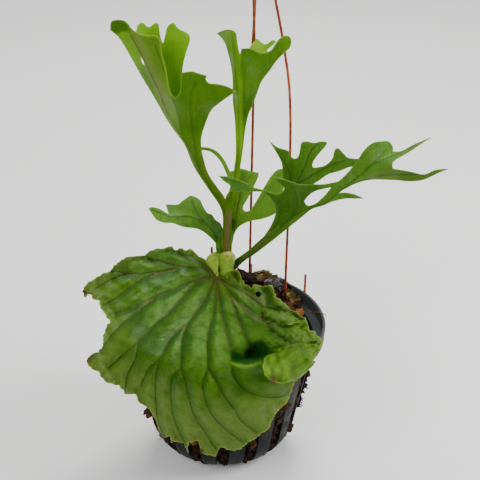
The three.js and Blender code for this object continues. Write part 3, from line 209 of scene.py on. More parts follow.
# Right frond: the half that shows its underside, and the half behind it
RIGHT_STALK = [
    -5,-19,-60,6,5, -1,-15,-56,5.6,4.6, 7,-9,-46,5,3.8, 17,0,-32,5,3.2, 29,10,-17,4.2,2.6,
]
RIGHT_NEAR = {
    "outline": [
        [7,-7, 17,3, 23,13, 25,21, 22,29, 16,34],
        [5,34, -8,34],
        [-7,38, -11,41, -15,45],
        [-6,44, 2,41, 9,37, 16,35, 22,33, 27,32, 30,34, 31,37],
        [27,40, 23,44],
        [29,43, 35,41, 42,39, 50,39, 59,39, 69,41],
        [77,49, 83,57, 87,63, 93,68, 99,69, 104,69, 107,65, 107,62],
        [112,62, 122,67, 134,72],
        [119,62, 107,54, 107,50],
        [119,48, 129,46, 137,49, 146,50],
        [137,46, 128,42, 119,41, 107,42, 90,42, 80,39, 74,36, 69,33],
        [75,33, 80,32, 87,29],
        [81,29, 74,29, 65,27, 58,24, 51,22, 42,15, 32,7, 22,-1, 10,-10, 7,-12],
        [4,-10],
    ],
    "holes": [
        [
            [47,30, 52,34, 59,36, 64,37],
            [60,32, 56,28, 52,25, 47,24, 45,27],
        ],
    ],
    "guides": [
        1,-13,-53, 17,0,-32, 32,10,-15, 24,21,-10, 15,34,7, 4,39,15, -15,45,15, -7,34,15, 27,32,14,
        42,28,12, 36,38,27, 24,43,26, 50,38,28, 67,40,40, 50,22,6, 63,27,19, 87,29,46, 74,31,32,
        77,42,44, 78,50,45, 88,56,53, 99,69,49, 107,60,51, 134,72,46, 92,48,59, 107,52,59, 92,43,49,
        111,43,52, 129,45,63, 146,50,71,
    ],
    "ribs": [
        [5,-10, 17,0, 29,10, 39,21, 40,31, 38,36],
        [29,10, 42,20, 50,23, 62,28, 70,35, 81,43, 92,52, 102,63],
        [17,0, 27,13, 28,22, 22,31, 7,38, -10,43],
        [70,35, 84,41, 102,46, 126,46, 144,50],
        [92,52, 108,59, 132,71],
    ],
}
RIGHT_FAR = {
    "outline": [
        [30,45, 29,54, 25,62, 20,70],
        [26,65, 34,62, 36,58, 39,57, 41,59, 42,64, 43,68, 46,69, 52,68, 57,69, 61,68, 55,60, 51,54,
         51,51, 55,51, 59,52, 63,55, 65,58, 66,62, 67,64, 69,64, 72,61, 75,58, 79,57, 85,57],
        [84,52, 77,51, 69,48, 62,46, 56,42, 50,38, 45,34, 43,28, 41,22, 36,19],
        [32,18, 31,26, 31,35],
    ],
    "guides": [
        35,20,-4, 31,34,-6, 41,22,2, 43,31,3, 41,43,0, 29,54,8, 20,69,23, 39,56,8, 53,68,22, 61,68,25,
        52,50,11, 69,63,28, 70,50,23, 85,56,36, 56,42,11,
    ],
    "ribs": [
        [35,20, 39,38, 45,50, 50,63, 55,68],
        [37,28, 34,49, 28,59, 22,68],
        [39,38, 55,48, 67,54, 74,56],
    ],
}

# Left frond; its stalk stands closer to the tall one at its foot than in the solids
LEFT_STALK = [
    -13.4,-15,-60,5,4.6, -14.2,-9,-55,5,3.8, -15,-3,-50,4.6,2.8, -15,2,-46,4,2,
]
LEFT_FROND = {
    "outline": [
        [-62,23, -57,22, -50,18],
        [-52,25],
        [-43,25, -41,27, -38,29, -35,31, -31,30, -28,28, -26,24, -23,19, -20,18, -17,14, -14,12, -12,7,
         -12,-2, -12,-7],
        [-16,-7],
        [-16,-4, -20,1, -26,6, -31,8, -39,9, -48,12, -52,12, -58,14, -62,19, -64,22],
    ],
    "guides": [
        -14,-9,-55, -15,0,-48, -12,10,-46, -26,15,-30, -34,30,-33, -34,9,-25, -52,24,-25, -64,22,-10,
        -52,13,-15, -38,18,-25,
    ],
    "ribs": [
        [-14,-5, -17,2, -24,11, -35,16, -49,16, -62,21],
        [-24,11, -31,20, -34,28],
    ],
}

# Shield frond, with the tongue rolled at its right end and the ear curled by the crown
SHIELD_FROND = {
    "outline": [
        [-20,-18, -24,-14, -29,-11, -35,-6, -38,-7, -42,-6, -45,-7, -49,-4, -54,-6, -59,-6, -64,-8,
         -67,-11],
        [-73,-11, -79,-12, -84,-15, -88,-18, -91,-22],
        [-95,-23, -102,-27, -108,-31, -110,-36, -109,-40],
        [-105,-38, -103,-41, -99,-42, -98,-47, -95,-51, -91,-57],
        [-94,-62, -96,-68, -96,-74],
        [-100,-79, -103,-79],
        [-106,-82, -107,-86, -104,-90, -99,-92, -97,-96, -94,-99, -89,-101, -84,-103, -80,-108, -76,-108,
         -73,-108],
        [-71,-113, -64,-118, -59,-126, -56,-134, -53,-138, -49,-137],
        [-47,-141, -39,-142, -38,-146, -36,-149],
        [-36,-142, -34,-141, -29,-141, -28,-145, -27,-149],
        [-22,-151, -17,-151, -15,-147],
        [-12,-145, -8,-147, -3,-147, 2,-145, 6,-141, 11,-139, 15,-135, 20,-132, 22,-127, 24,-123,
         29,-117, 33,-113, 35,-109, 38,-100, 41,-97, 45,-94],
        [49,-90, 53,-81, 56,-76, 58,-71, 55,-68, 51,-63],
        [49,-64, 48,-60, 46,-55, 43,-53, 39,-50, 35,-48, 32,-45, 28,-42, 25,-39, 24,-35, 22,-32, 16,-32,
         10,-31, 8,-34],
        [3,-30, 1,-27, -3,-25, -6,-23, -10,-25],
        [-13,-26, -16,-24],
    ],
    "holes": [
        [
            [13,-36, 15,-38, 13,-40, 11,-39, 11,-37],
        ],
        [
            [17,-51, 17,-54, 15,-55, 15,-50],
        ],
    ],
    "guides": [
        -16,-25,-45, -22,-15,-52, -29,-11,-60, -42,-6,-67, -54,-6,-64, -67,-11,-61, -84,-15,-56,
        -92,-21,-52, -102,-27,-48, -109,-33,-43, -109,-39,-39, -99,-44,-33, -91,-57,-20, -96,-72,-4,
        -106,-83,0, -99,-92,6, -84,-103,14, -71,-113,17, -53,-137,6, -28,-147,4, 1,-144,9, 20,-132,18,
        35,-109,23, 41,-97,25, -63,-35,-42, -35,-35,-43, -77,-49,-27, -56,-56,-13, -28,-55,-10,
        -84,-67,-3, -76,-76,12, -63,-85,25, -46,-91,37, -26,-95,41, -5,-95,42, 16,-93,38, 34,-88,27,
        -61,-71,7, -37,-83,29, -22,-85,34, -13,-70,14, -82,-82,8, -13,-107,41, 0,-126,28, -35,-122,25,
        -56,-108,26, 4,-42,-37, -5,-25,-46, 16,-34,-42, 24,-42,-33, 15,-59,-19, 7,-78,12, 0,-87,35,
        21,-83,20, 38,-50,-28, 46,-56,-20, 35,-66,-8, 49,-64,-11, 57,-71,0, 53,-81,13, 45,-94,16,
        35,-80,15,
    ],
    "ribs": [
        [-18,-23, -24,-18, -31,-14, -40,-10, -48,-7],
        [-18,-24, -27,-20, -40,-19, -53,-16, -67,-12],
        [-40,-19, -49,-21, -60,-23, -73,-24, -90,-22],
        [-45,-21, -53,-23, -66,-27, -76,-33, -85,-40, -95,-46],
        [-70,-24, -81,-25, -92,-29, -102,-35],
        [-17,-25, -26,-27, -40,-32, -53,-38, -63,-42, -73,-47, -87,-52],
        [-60,-41, -66,-46, -76,-54, -85,-62, -95,-74, -104,-82],
        [-17,-25, -31,-31, -40,-40, -49,-50, -58,-58, -65,-65, -71,-72, -81,-80, -92,-90],
        [-71,-72, -73,-84, -78,-94, -80,-105],
        [-17,-26, -22,-38, -28,-47, -36,-58, -43,-64, -49,-70, -56,-83, -64,-91, -69,-102],
        [-56,-83, -58,-92, -59,-108, -57,-126, -53,-137],
        [-31,-51, -38,-62, -41,-74, -42,-90, -47,-96, -48,-108, -47,-121, -43,-132, -36,-146],
        [-42,-90, -38,-99, -35,-112, -31,-124, -25,-133, -17,-146],
        [-16,-27, -17,-38, -18,-48, -21,-60, -23,-71, -23,-90, -26,-101, -24,-112, -20,-121, -11,-131,
         2,-141],
        [-23,-90, -16,-100, -10,-110, -4,-118, 0,-125, 11,-134],
        [-16,-27, -14,-47, -9,-70, -6,-84, -5,-95, 6,-106, 20,-110, 34,-108],
        [-15,-27, -8,-36, -4,-49, 1,-63, 5,-72, 10,-78],
        [-13,-27, -8,-36, -1,-45, 7,-52, 16,-57, 22,-60, 31,-62],
        [18,-58, 25,-67, 32,-71, 41,-75, 50,-78],
        [-13,-27, -7,-32, 1,-36, 7,-40, 13,-44, 18,-48, 29,-50, 42,-55],
    ],
    "over_pot": True,
}
ROLLED_TONGUE = {
    "outline": [
        [18,-82, 16,-88, 18,-95, 25,-100, 32,-100, 38,-98],
        [45,-94, 49,-90, 53,-81, 56,-76, 58,-71],
        [51,-66, 42,-67, 34,-71, 28,-76, 22,-80],
    ],
    "guides": [
        22,-80,14, 18,-82,26, 16,-88,42, 18,-95,47, 25,-100,48, 32,-100,45, 38,-98,40, 45,-94,27,
        49,-90,23, 53,-81,15, 56,-76,8, 58,-71,-4, 51,-66,-18, 42,-67,-17, 34,-71,-9, 28,-76,2, 42,-75,8,
        34,-81,26, 30,-90,43, 40,-86,31, 47,-80,20,
    ],
    "over_pot": True,
}
CURLED_EAR = {
    "outline": [
        [-8,-23, -4,-21, -1,-22, 1,-27, 0,-31],
        [-5,-30, -10,-28],
    ],
    "guides": [
        -10,-28,-45, -8,-23,-42, -4,-21,-38, -1,-22,-37, 1,-27,-39, 0,-31,-42, -5,-29,-44, -4,-25,-43,
    ],
}

# Hanger legs: angles inside and outside the wall (degrees from the back), height of the stub over
# the rim, place in the tie, and what they pass (across, up, share of the way forward). The left
# leg bows further behind the tall frond's right arm than in the solids.
LEGS = {
    "middle": {"inside": 18.5, "outside": 15.6, "stub": 4.5, "knot": [-2.6, -1.2],
               "via": [[10, 133, 0.24], [9, 84, 0.52]]},
    "right": {"inside": 48.6, "outside": 52, "stub": 11, "knot": [2.8, -1.2],
              "via": [[30, 140, 0.24], [35, 98, 0.44]]},
    "left": {"inside": -4, "outside": -7, "stub": 18, "knot": [0.6, 2.8],
             "via": [[9, 139, 0.24], [1.8, 77, 0.52]]},
}

# Crown: the scale and the fold on its front, and the cream curl, shorter than in the solids
SCALE = [
    -14,-15,-56,7,6, -17,-11.5,-49,8,6, -18.9,-14,-44.5,9.5,7, -18,-17.5,-42,8,6, -17,-21,-40.5,4.6,4.2,
    -15.8,-25.4,-40,1.6,1.6,
]
NEAR_FOLD = [
    -9.6,-9.6,-50,8,5, -9.6,-12.5,-48,12.4,6.5, -9.8,-17,-45.5,12,7, -9.4,-22,-43.5,9,6,
    -8.6,-27,-42,3.4,3,
]
CURL = [
    -9.8,-14,-54,4,4, -10.2,-12,-50,5,4.6, -9.4,-10.4,-48,5.8,5, -7.6,-10,-46,5,4.4,
    -5.3,-10.8,-45.5,3.4,3.2, -4,-13.5,-46,2.6,2.6,
]

# Large chips: x, y, z, length, width, height, turn and lean in degrees
CHIPS = [
    22,52,104,21,13,14,24,10, 12.5,56,103,10,9,20,-30,-14, 25,55,95,14,10,16,40,5,
    38,46,102,17,13,13,50,-12, 47,29,98,16,11,9,70,20, 44,18,95,14,11,9,15,-18, 55,14,95,11,6,14,80,15,
    50,-2,89,14,10,9,35,15, 36,34,98,16,11,9,110,10, -40,40,88,18,12,12,60,16, -54,14,84,16,10,8,100,-15,
    -32,45,88,15,9,14,20,-20, -20,0,85,18,11,8,40,12, 10,-20,84,17,10,8,130,-12, -44,-20,83,16,9,7,80,14,
    30,-44,83,15,10,7,150,12,
]

# Chips that stick out of the slots: slot, height, how far out, size
SLOT_CHIPS = [
    -3,40,5,7, -3,66,3,6, -2,30,4,6, -2,74,4,7, -1,22,3,6, -1,50,2,6, 0,56,4,7, 1,34,3,6, 2,62,4,7,
    3,26,3,6, 4,70,4,7, 5,44,3,6, 6,30,4,7, 7,60,3,6, 8,40,4,7,
]


# Lines and surfaces
def rows_of(numbers, count):
    """Numbers written in turn, as rows of count."""
    return np.reshape(np.array(numbers, float), (-1, count))


def place(points, depth):
    """Drawing-plane points (n, 2) lifted towards the eye by depth, in mm."""
    flat = AIM + points[:, :1] * ACROSS + points[:, 1:2] * UPWARD
    return flat + np.reshape(depth, (-1, 1)) * unit(EYE - flat)


def guided_depth(points, guides):
    """The depths at the points of a smooth surface through the guides."""
    known = rows_of(guides, 3)
    spots = known[:, :2] / 100
    count = len(known)

    def bend(a):
        r2 = ((a[:, None, :] - spots[None, :, :]) ** 2).sum(2)
        return np.where(r2 < 1e-12, 0, 0.5 * r2 * np.log(np.maximum(r2, 1e-12)))

    plain = np.hstack([np.ones((count, 1)), spots])
    system = np.block([[bend(spots), plain], [plain.T, np.zeros((3, 3))]])
    weights = np.linalg.solve(system, np.append(known[:, 2], [0, 0, 0]))
    return bend(points / 100) @ weights[:count] + weights[count] + points / 100 @ weights[count + 1:]


def even(points, step):
    """Points spaced evenly along a line."""
    lengths = np.linalg.norm(np.diff(points, axis=0), axis=1)
    along = np.append(0, np.cumsum(lengths))
    count = max(1, round(along[-1] / step))
    wanted = np.linspace(0, along[-1], count + 1)
    return np.stack([np.interp(wanted, along, axis) for axis in points.T], axis=1)


def blend(a, b, s, start, end, gap):
    """From a, at the start of the gap, to b at its end."""
    return (end - s) / gap * a + (s - start) / gap * b


def smooth_line(points, step):
    """A centripetal Catmull-Rom curve through points, sampled evenly."""
    p = np.array(points, float)
    if len(p) == 2:
        return even(p, step)
    p = np.vstack([2 * p[0] - p[1], p, 2 * p[-1] - p[-2]])
    found = [p[1][None]]
    for i in range(1, len(p) - 2):
        quad = p[i - 1:i + 3]
        gaps = np.sqrt(np.maximum(np.linalg.norm(np.diff(quad, axis=0), axis=1), 1e-6))
        t = np.append(0, np.cumsum(gaps))
        s = np.linspace(t[1], t[2], 17)[1:, None]
        first = [blend(quad[k], quad[k + 1], s, t[k], t[k + 1], gaps[k]) for k in range(3)]
        second = [blend(first[k], first[k + 1], s, t[k], t[k + 2], t[k + 2] - t[k]) for k in range(2)]
        found.append(blend(*second, s, t[1], t[2], gaps[1]))
    return even(np.vstack(found), step)


def trace_loop(stretches):
    """The closed outline that the stretches make."""
    stretches = [rows_of(stretch, 2) for stretch in stretches]
    starts = [stretch[-1] for stretch in stretches[-1:] + stretches]
    lines = [smooth_line([start, *stretch], OUTLINE_STEP) for start, stretch in zip(starts, stretches)]
    return np.vstack([line[:-1] for line in lines])


def piece_distance(points, a, b):
    """Distance of each point from the straight piece between a and b."""
    ab = b - a
    t = np.clip(((points - a) @ ab) / max(ab @ ab, 1e-12), 0, 1)
    return np.linalg.norm(points - a - t[:, None] * ab, axis=1)


def line_distance(points, line, closed=False):
    """Distance of each point from a line of straight pieces."""
    ends = np.vstack([line, line[:1]]) if closed else line
    best = np.full(len(points), np.inf)
    for a, b in zip(ends[:-1], ends[1:]):
        best = np.minimum(best, piece_distance(points, a, b))
    return best


def edge_distance(points, rings):
    """Distance of each point from the nearest edge, outline or hole."""
    return np.minimum.reduce([line_distance(points, ring, True) for ring in rings])


def rib_distances(points, rib_lines):
    """Distances from the nearest rib and the second nearest."""
    far = [np.full(len(points), NO_RIB)] * 2
    return np.sort([line_distance(points, line) for line in rib_lines] + far, axis=0)[:2]


def rib_side(points, lines, centre):
    """1 where a point lies to the left of its nearest rib, seen from the centre outward, or -1."""
    best = np.full(len(points), np.inf)
    side = np.zeros(len(points))
    for line in lines:
        if np.linalg.norm(line[0] - centre) > np.linalg.norm(line[-1] - centre):
            line = line[::-1]
        for a, b in zip(line[:-1], line[1:]):
            away = piece_distance(points, a, b)
            (along, rise), (x, y) = b - a, (points - a).T
            side = np.where(away < best, np.sign(along * y - rise * x), side)
            best = np.minimum(best, away)
    return side


def inside_loop(points, loop):
    inside = np.zeros(len(points), bool)
    x, y = points.T
    for (ax, ay), (bx, by) in zip(loop, np.roll(loop, 1, axis=0)):
        if ay != by:
            inside ^= ((ay > y) != (by > y)) & (x < (bx - ax) * (y - ay) / (by - ay) + ax)
    return inside


def in_leaf(points, rings):
    """True inside the first ring and outside the others, the holes."""
    keep = inside_loop(points, rings[0])
    for hole in rings[1:]:
        keep &= ~inside_loop(points, hole)
    return keep


def smoothstep(x, low, high):
    t = np.clip((x - low) / (high - low), 0, 1)
    return t * t * (3 - 2 * t)


def soft_noise(points, scale, seed):
    """Smooth noise in -1..1 from a few seeded waves, the same on every run."""
    rng = np.random.default_rng(seed)
    total = np.zeros(len(points))
    for _ in range(7):
        direction = rng.normal(size=points.shape[1])
        direction *= rng.uniform(0.6, 1.5) / (scale * np.linalg.norm(direction))
        total += np.sin(points @ direction * FULL_TURN + rng.uniform(0, FULL_TURN))
    return total / 3.5


def within(points, zone, blur=1.5):
    """1 inside a zone of the drawing plane, fading to 0 across its edge."""
    zone = rows_of(zone, 2)
    distance = line_distance(points, zone, True)
    return smoothstep(np.where(inside_loop(points, zone), distance, -distance), -blur, blur)


def around(angle, radius, height):
    """A point at an angle (radians) and a radius round the pot's axis."""
    return np.array([radius * math.cos(angle), radius * math.sin(angle), height])


def pot_wall_radius(height, inset=0.0):
    """Radius of the leaning wall at a height, or of the same form inset from it."""
    radius = BASE_ROUNDING - inset
    height = np.asarray(height, float)
    bend_top = BASE_ROUNDING - radius * math.sin(WALL_LEAN)
    drop = np.clip(BASE_ROUNDING - height, 0, radius)
    low = BASE_FLAT + np.sqrt(radius * radius - drop * drop)
    high = BASE_FLAT + radius * math.cos(WALL_LEAN) + (height - bend_top) * math.tan(WALL_LEAN)
    return np.where(height < bend_top, low, high)


def medium_top(x, y):
    """Height of the medium: a mound under the crown and a heap beside it."""
    from_crown2 = (x - CROWN_CENTRE[0]) ** 2 + (y - CROWN_CENTRE[1] + 3) ** 2
    from_heap2 = (x - HEAP_CENTRE[0]) ** 2 + (y - HEAP_CENTRE[1]) ** 2
    mound = MOUND_HEIGHT * np.exp(-from_crown2 / (2 * MOUND_SPREAD ** 2))
    heap = HEAP_HEIGHT * np.exp(-from_heap2 / (2 * MOUND_SPREAD ** 2))
    fade = 1 - smoothstep(np.hypot(x, y), *MOUND_FADE)
    ripple = 1.6 * np.sin(0.21 * x + 0.7) * np.cos(0.17 * y - 0.4)
    return MEDIUM_LEVEL + np.maximum(mound, heap) * fade + ripple


def lay_over_pot(points):
    """The shield lies on the medium, rises to the rim, folds over it and hangs clear."""
    x, y, z = points.T
    radius = np.hypot(x, y)
    over_rim = RIM_HEIGHT + REST_GAP
    ground = medium_top(x, y) + REST_GAP
    ground += (over_rim - ground) * smoothstep(radius, SHIELD_RISE_START, INNER_RIM)
    mouth = radius < INNER_RIM
    wall = np.where(z > SLOT_TOP, RIM_RADIUS, pot_wall_radius(np.maximum(z, 0)) + SHIELD_WALL_GAP)
    beside = wall + REST_GAP
    pushed = ~mouth & (radius < beside) & (z < over_rim)
    outward = (beside - INNER_RIM) / np.maximum(radius - INNER_RIM + 0.01, 0.01)
    upward = np.where(z > RIM_CORE, (over_rim - RIM_CORE) / np.maximum(z - RIM_CORE, 0.01), np.inf)
    push = np.minimum(outward, upward)
    grow = np.where(pushed, (INNER_RIM + (radius - INNER_RIM) * push) / radius, 1)
    lifted = np.where(pushed & (z > RIM_CORE), RIM_CORE + (z - RIM_CORE) * push, z)
    return np.stack([x * grow, y * grow, np.where(mouth, np.maximum(z, ground), lifted)], axis=1)


# Pieces
class Build:
    """Gathers shells in millimetres, with a few numbers at each point for the material."""

    def __init__(self):
        self.points = []
        self.faces = []
        self.marks = {}
        self.count = 0

    def add(self, points, faces, **marks):
        points = np.asarray(points, float)
        self.points.append(points)
        self.faces.extend(tuple(int(i) + self.count for i in face) for face in faces)
        for name in {**self.marks, **marks}:
            rows = self.marks.setdefault(name, [np.zeros(self.count)] if self.count else [])
            rows.append(np.broadcast_to(np.asarray(marks.get(name, 0), float), len(points)))
        self.count += len(points)

    def object(self, name, sharp=50):
        mesh = bpy.data.meshes.new(name)
        mesh.from_pydata((np.vstack(self.points) * MM).tolist(), [], self.faces)
        mesh.validate()
        for mark, rows in self.marks.items():
            attribute = mesh.attributes.new(mark, "FLOAT", "POINT")
            attribute.data.foreach_set("value", np.concatenate(rows).astype(np.float32))
        mesh.shade_smooth()
        mesh.set_sharp_from_angle(angle=math.radians(sharp))
        mesh.update()
        return add_to_scene(name, mesh)


def add_to_scene(name, data):
    item = bpy.data.objects.new(name, data)
    bpy.context.scene.collection.objects.link(item)
    return item


def finish_piece(piece, node, material):
    """Every piece is fixed to the one body and stands for one node of the solids."""
    piece.data.materials.clear()
    piece.data.materials.append(material)
    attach(piece, "root")
    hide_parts(node)


def ring_faces(count, sides):
    """Faces between rings of points that follow one another."""
    faces = []
    for i in range(count - 1):
        for k in range(sides):
            a = i * sides + k
            b = i * sides + (k + 1) % sides
            faces.append((a, b, b + sides, a + sides))
    return faces


def closed_faces(count, sides):
    """Faces between rings, and fans to the two last points, one at each end."""
    faces = ring_faces(count, sides)
    head = count * sides
    last = head - sides
    for k in range(sides):
        faces.append((head, (k + 1) % sides, k))
        faces.append((head + 1, last + k, last + (k + 1) % sides))
    return faces


def circle(sides):
    """Cosine and sine of the angles of a ring's points."""
    angles = np.linspace(0, FULL_TURN, sides, endpoint=False)
    return np.cos(angles), np.sin(angles)


def add_rod(build, stations, sides=14, middle=None, **marks):
    """A closed rod of elliptical section; middle names a mark that fades out to its sides."""
    centres = place(stations[:, :2], stations[:, 2])
    widths, thicks = stations[:, 3, None, None], stations[:, 4, None, None]
    along = unit(np.vstack([centres[1:], centres[-1:]]) - np.vstack([centres[:1], centres[:-1]]))
    wide = unit(ACROSS - (along @ ACROSS)[:, None] * along)
    thin = np.cross(along, wide)
    cos, sin = circle(sides)
    rings = (centres[:, None, :] + 0.5 * widths * cos[None, :, None] * wide[:, None, :]
             + 0.5 * thicks * sin[None, :, None] * thin[:, None, :])
    full = {}
    for name, value in marks.items():
        if np.ndim(value):
            share = 1 - smoothstep(np.abs(cos), 0.35, 0.85) if name == middle else np.ones(sides)
            value = np.concatenate([np.outer(value, share).ravel(), value[:1], value[-1:]])
        full[name] = value
    points = np.vstack([rings.reshape(-1, 3), centres[:1], centres[-1:]])
    build.add(points, closed_faces(len(centres), sides), **full)


def add_wire(build, centres, radius, sides=12, **marks):
    """A round wire along points, its section carried along without twist."""
    along = unit(np.gradient(centres, axis=0))
    side = np.array([1.0, 0.37, 0.11])
    cos, sin = circle(sides)
    rings = []
    for centre, ahead in zip(centres, along):
        side = unit(side - (side @ ahead) * ahead)
        rings.append(centre + radius * (cos[:, None] * side + sin[:, None] * np.cross(ahead, side)))
    last = (len(centres) - 1) * sides
    ends = [tuple(range(sides - 1, -1, -1)), tuple(range(last, last + sides))]
    build.add(np.vstack(rings), ring_faces(len(centres), sides) + ends, **marks)


def turn_profile(profile, facets):
    """Points and faces of a profile turned round the axis; its ends sit on the axis."""
    profile = np.asarray(profile, float)
    cos, sin = circle(facets)
    radius, height = profile[1:-1, :1], profile[1:-1, 1:]
    rings = np.stack([radius * cos, radius * sin, np.repeat(height, facets, axis=1)], axis=2)
    points = np.vstack([rings.reshape(-1, 3), [[0, 0, profile[0, 1]], [0, 0, profile[-1, 1]]]])
    return points, closed_faces(len(radius), facets)


# Looks
def linear(r, g, b, factor=1.0):
    """A screen colour 0..255, made darker by a factor, as the shader wants it."""
    return [factor * (((c / 255 + 0.055) / 1.055) ** 2.4 if c > 10 else c / 255 / 12.92) for c in (r, g, b)]


class Look:
    """A procedural material: colours laid over one another. A tuple is a screen colour."""

    def __init__(self, name, roughness, specular):
        self.material = bpy.data.materials.new(name)
        self.material.use_nodes = True
        self.tree = self.material.node_tree
        self.inputs = self.tree.nodes["Principled BSDF"].inputs
        self.inputs["Roughness"].default_value = roughness
        self.inputs["Specular IOR Level"].default_value = specular
        self.coords = self.node("TexCoord", {}).outputs["Object"]
        self.body = None

    def feed(self, socket, value):
        """Links another node's output to a socket, or sets the socket's own value."""
        if isinstance(value, bpy.types.NodeSocket):
            self.tree.links.new(value, socket)
        elif isinstance(value, tuple):
            socket.default_value = (*linear(*value), 1)
        else:
            socket.default_value = value

    def node(self, kind, values, **settings):
        node = self.tree.nodes.new("ShaderNode" + kind)
        for name, value in settings.items():
            setattr(node, name, value)
        for name, value in values.items():
            self.feed(node.inputs[name], value)
        return node

    def mark(self, name):
        return self.node("Attribute", {}, attribute_name=name).outputs["Fac"]

    def noise(self, scale, detail, rough=0.6, stretch=None, vector=None, distortion=0.0):
        vector = vector or self.coords
        if stretch:
            vector = self.node("Mapping", {"Scale": stretch, "Vector": vector}).outputs["Vector"]
        values = {"Scale": scale, "Detail": detail, "Roughness": rough, "Distortion": distortion,
                  "Vector": vector}
        return self.node("TexNoise", values).outputs["Fac"]

    def remap(self, source, low, high, to_low=0.0, to_high=1.0):
        values = {"From Min": low, "From Max": high, "To Min": to_low, "To Max": to_high, "Value": source}
        return self.node("MapRange", values, interpolation_type="SMOOTHSTEP").outputs["Result"]

    def patches(self, scale, detail, rough, *ends, **options):
        """Noise, cut to patches with soft edges."""
        return self.remap(self.noise(scale, detail, rough, **options), *ends)

    def math(self, operation, a, b):
        return self.node("Math", {0: a, 1: b}, operation=operation).outputs["Value"]

    def times(self, a, b):
        return self.math("MULTIPLY", a, b)

    def mix(self, share, a, b):
        return self.node("Mix", {0: share, 6: a, 7: b}, data_type="RGBA").outputs[2]

    def over(self, colour, share, strength=None):
        """Lays a colour over what is there, where share says."""
        share = share if strength is None else self.times(share, strength)
        self.body = self.mix(share, self.body, colour)

    def finish(self, roughness, *bumps):
        """Links colour, roughness and bumps (height, distance in mm, strength) to the shader."""
        self.feed(self.inputs["Base Color"], self.body)
        self.feed(self.inputs["Roughness"], roughness)
        normal = None
        for height, distance, strength in bumps:
            values = {"Distance": distance * MM, "Strength": strength, "Height": height}
            if normal:
                values["Normal"] = normal
            normal = self.node("Bump", values).outputs["Normal"]
        self.feed(self.inputs["Normal"], normal)
        return self.material


def leaf_look(name, deep, bright, down_and_sheen, vein, far_vein, outer, margin, below, sunlit, drab,
              vein_width=0.45, down_share=0.2, roughness=0.44, specular=0.12, streaks=True):
    """A leathery leaf: mottled green, downy bloom, veins, a paler outer zone and margin, and painted sheen,
    light and shade.
    """
    look = Look(name, roughness, specular)
    edge, rib, reach = (look.mark(mark) for mark in ("near_edge", "near_rib", "reach"))
    dim = look.times(look.mark("dim"), 0.8)
    drab_share = look.times(look.mark("drab"), 0.6)

    # Darkens a colour towards deep green as painted shade where marked, and turns it drab where the drab
    # mark says.
    def shaded_and_drab(colour):
        return look.mix(drab_share, look.mix(dim, colour, (*deep, 0.55)), drab)

    look.body = look.mix(look.patches(38, 5, 0.55, 0.35, 0.65), deep, bright)
    outside = look.times(look.remap(edge, 3, 24, 1, 0), look.patches(30, 4, 0.6, 0.3, 0.62))
    look.over(outer, outside, 0.75)
    look.over(outer, look.times(look.mark("olive"), look.patches(50, 5, 0.65, 0.3, 0.6, 0.35, 0.9)))
    bloom = look.patches(22, 3, 0.5, 0.42, 0.62, distortion=0.6)
    look.over(down_and_sheen, look.times(bloom, look.patches(420, 3, 0.7, 0.25, 0.7)), down_share)
    # Painted sheen, in the downy colour, where the leaf is marked for it.
    look.over(down_and_sheen, look.times(look.mark("sheen"), look.patches(75, 4, 0.6, 0.36, 0.58, 0.1, 1)))
    look.over((*deep, 0.55), look.patches(330, 3, 0.7, 0.44, 0.62, 0, 0.22))
    # Painted shade on the steep side of each pleat.
    look.over((26, 72, 0), look.mark("flank"), 0.85)
    if streaks:
        flat = look.node("CombineXYZ", {0: look.mark("across"), 1: look.times(look.mark("up"), 0.06)})
        streak = look.patches(0.55, 3, 0.5, 0.3, 0.7, 0, 0.3, vector=flat.outputs["Vector"])
        look.over((*deep, 0.6), streak)
    look.body = shaded_and_drab(look.body)
    cells = look.node("TexVoronoi", {"Scale": 260, "Vector": look.coords}, feature="DISTANCE_TO_EDGE")
    net = look.remap(cells.outputs["Distance"], 0.0, 0.09, 1, 0)
    look.over(outer, net, 0.12)
    # Painted shade in the valleys along the veins, weaker far out.
    valley_shade = look.remap(rib, vein_width, 2.5 * vein_width, 1, 0)
    look.over((*deep, 0.5), look.times(valley_shade, look.remap(reach, 0.45, 0.8, 0.35, 0.15)))
    vein = look.mix(look.remap(reach, 0.45, 0.8), vein, far_vein)
    ridge = look.remap(rib, 0.35 * vein_width, vein_width, 1, 0)
    look.over(vein, ridge, 0.7)
    look.over(margin, look.remap(edge, 0.15, 1.1, 1, 0), 0.55)
    worn = look.times(look.patches(60, 4, 0.7, 0.58, 0.74), look.remap(edge, 0.8, 3.5, 1, 0))
    look.over((120, 104, 44), worn, 0.6)
    lower = look.mix(look.times(ridge, 0.5), shaded_and_drab(below), vein)
    look.over(look.mix(look.times(net, 0.25), lower, down_and_sheen), look.mark("under"))
    look.over((3, 56, 3), look.mark("shade"), 0.9)
    look.over((120, 88, 66), look.mark("purple"), 0.85)
    look.over(sunlit, look.mark("sunlit"), 0.7)
    look.over((74, 56, 26), look.mark("brown"))
    look.inputs["Subsurface Weight"].default_value = 0.3
    look.inputs["Subsurface Radius"].default_value = (0.6, 1.0, 0.15)
    look.inputs["Subsurface Scale"].default_value = 0.002
    return look.finish(look.patches(55, 3, 0.6, 0.3, 0.7, roughness - 0.08, roughness + 0.14),
                       (net, 0.25, 0.3), (look.noise(1400, 2, 0.5), 0.08, 0.4),
                       (look.noise(180, 4), 0.3, 0.3))


def wire_look():
    look = Look("rusted_wire", 0.55, 0.4)
    look.inputs["Metallic"].default_value = 0.35
    look.body = look.mix(look.patches(160, 5, 0.65, 0.38, 0.6), (176, 78, 36), (120, 44, 24))
    look.over((72, 34, 26), look.patches(70, 4, 0.7, 0.55, 0.7), 0.6)
    return look.finish(look.patches(500, 3, 0.6, 0.3, 0.7, 0.42, 0.72),
                       (look.noise(1600, 4, 0.7), 0.12, 0.5))


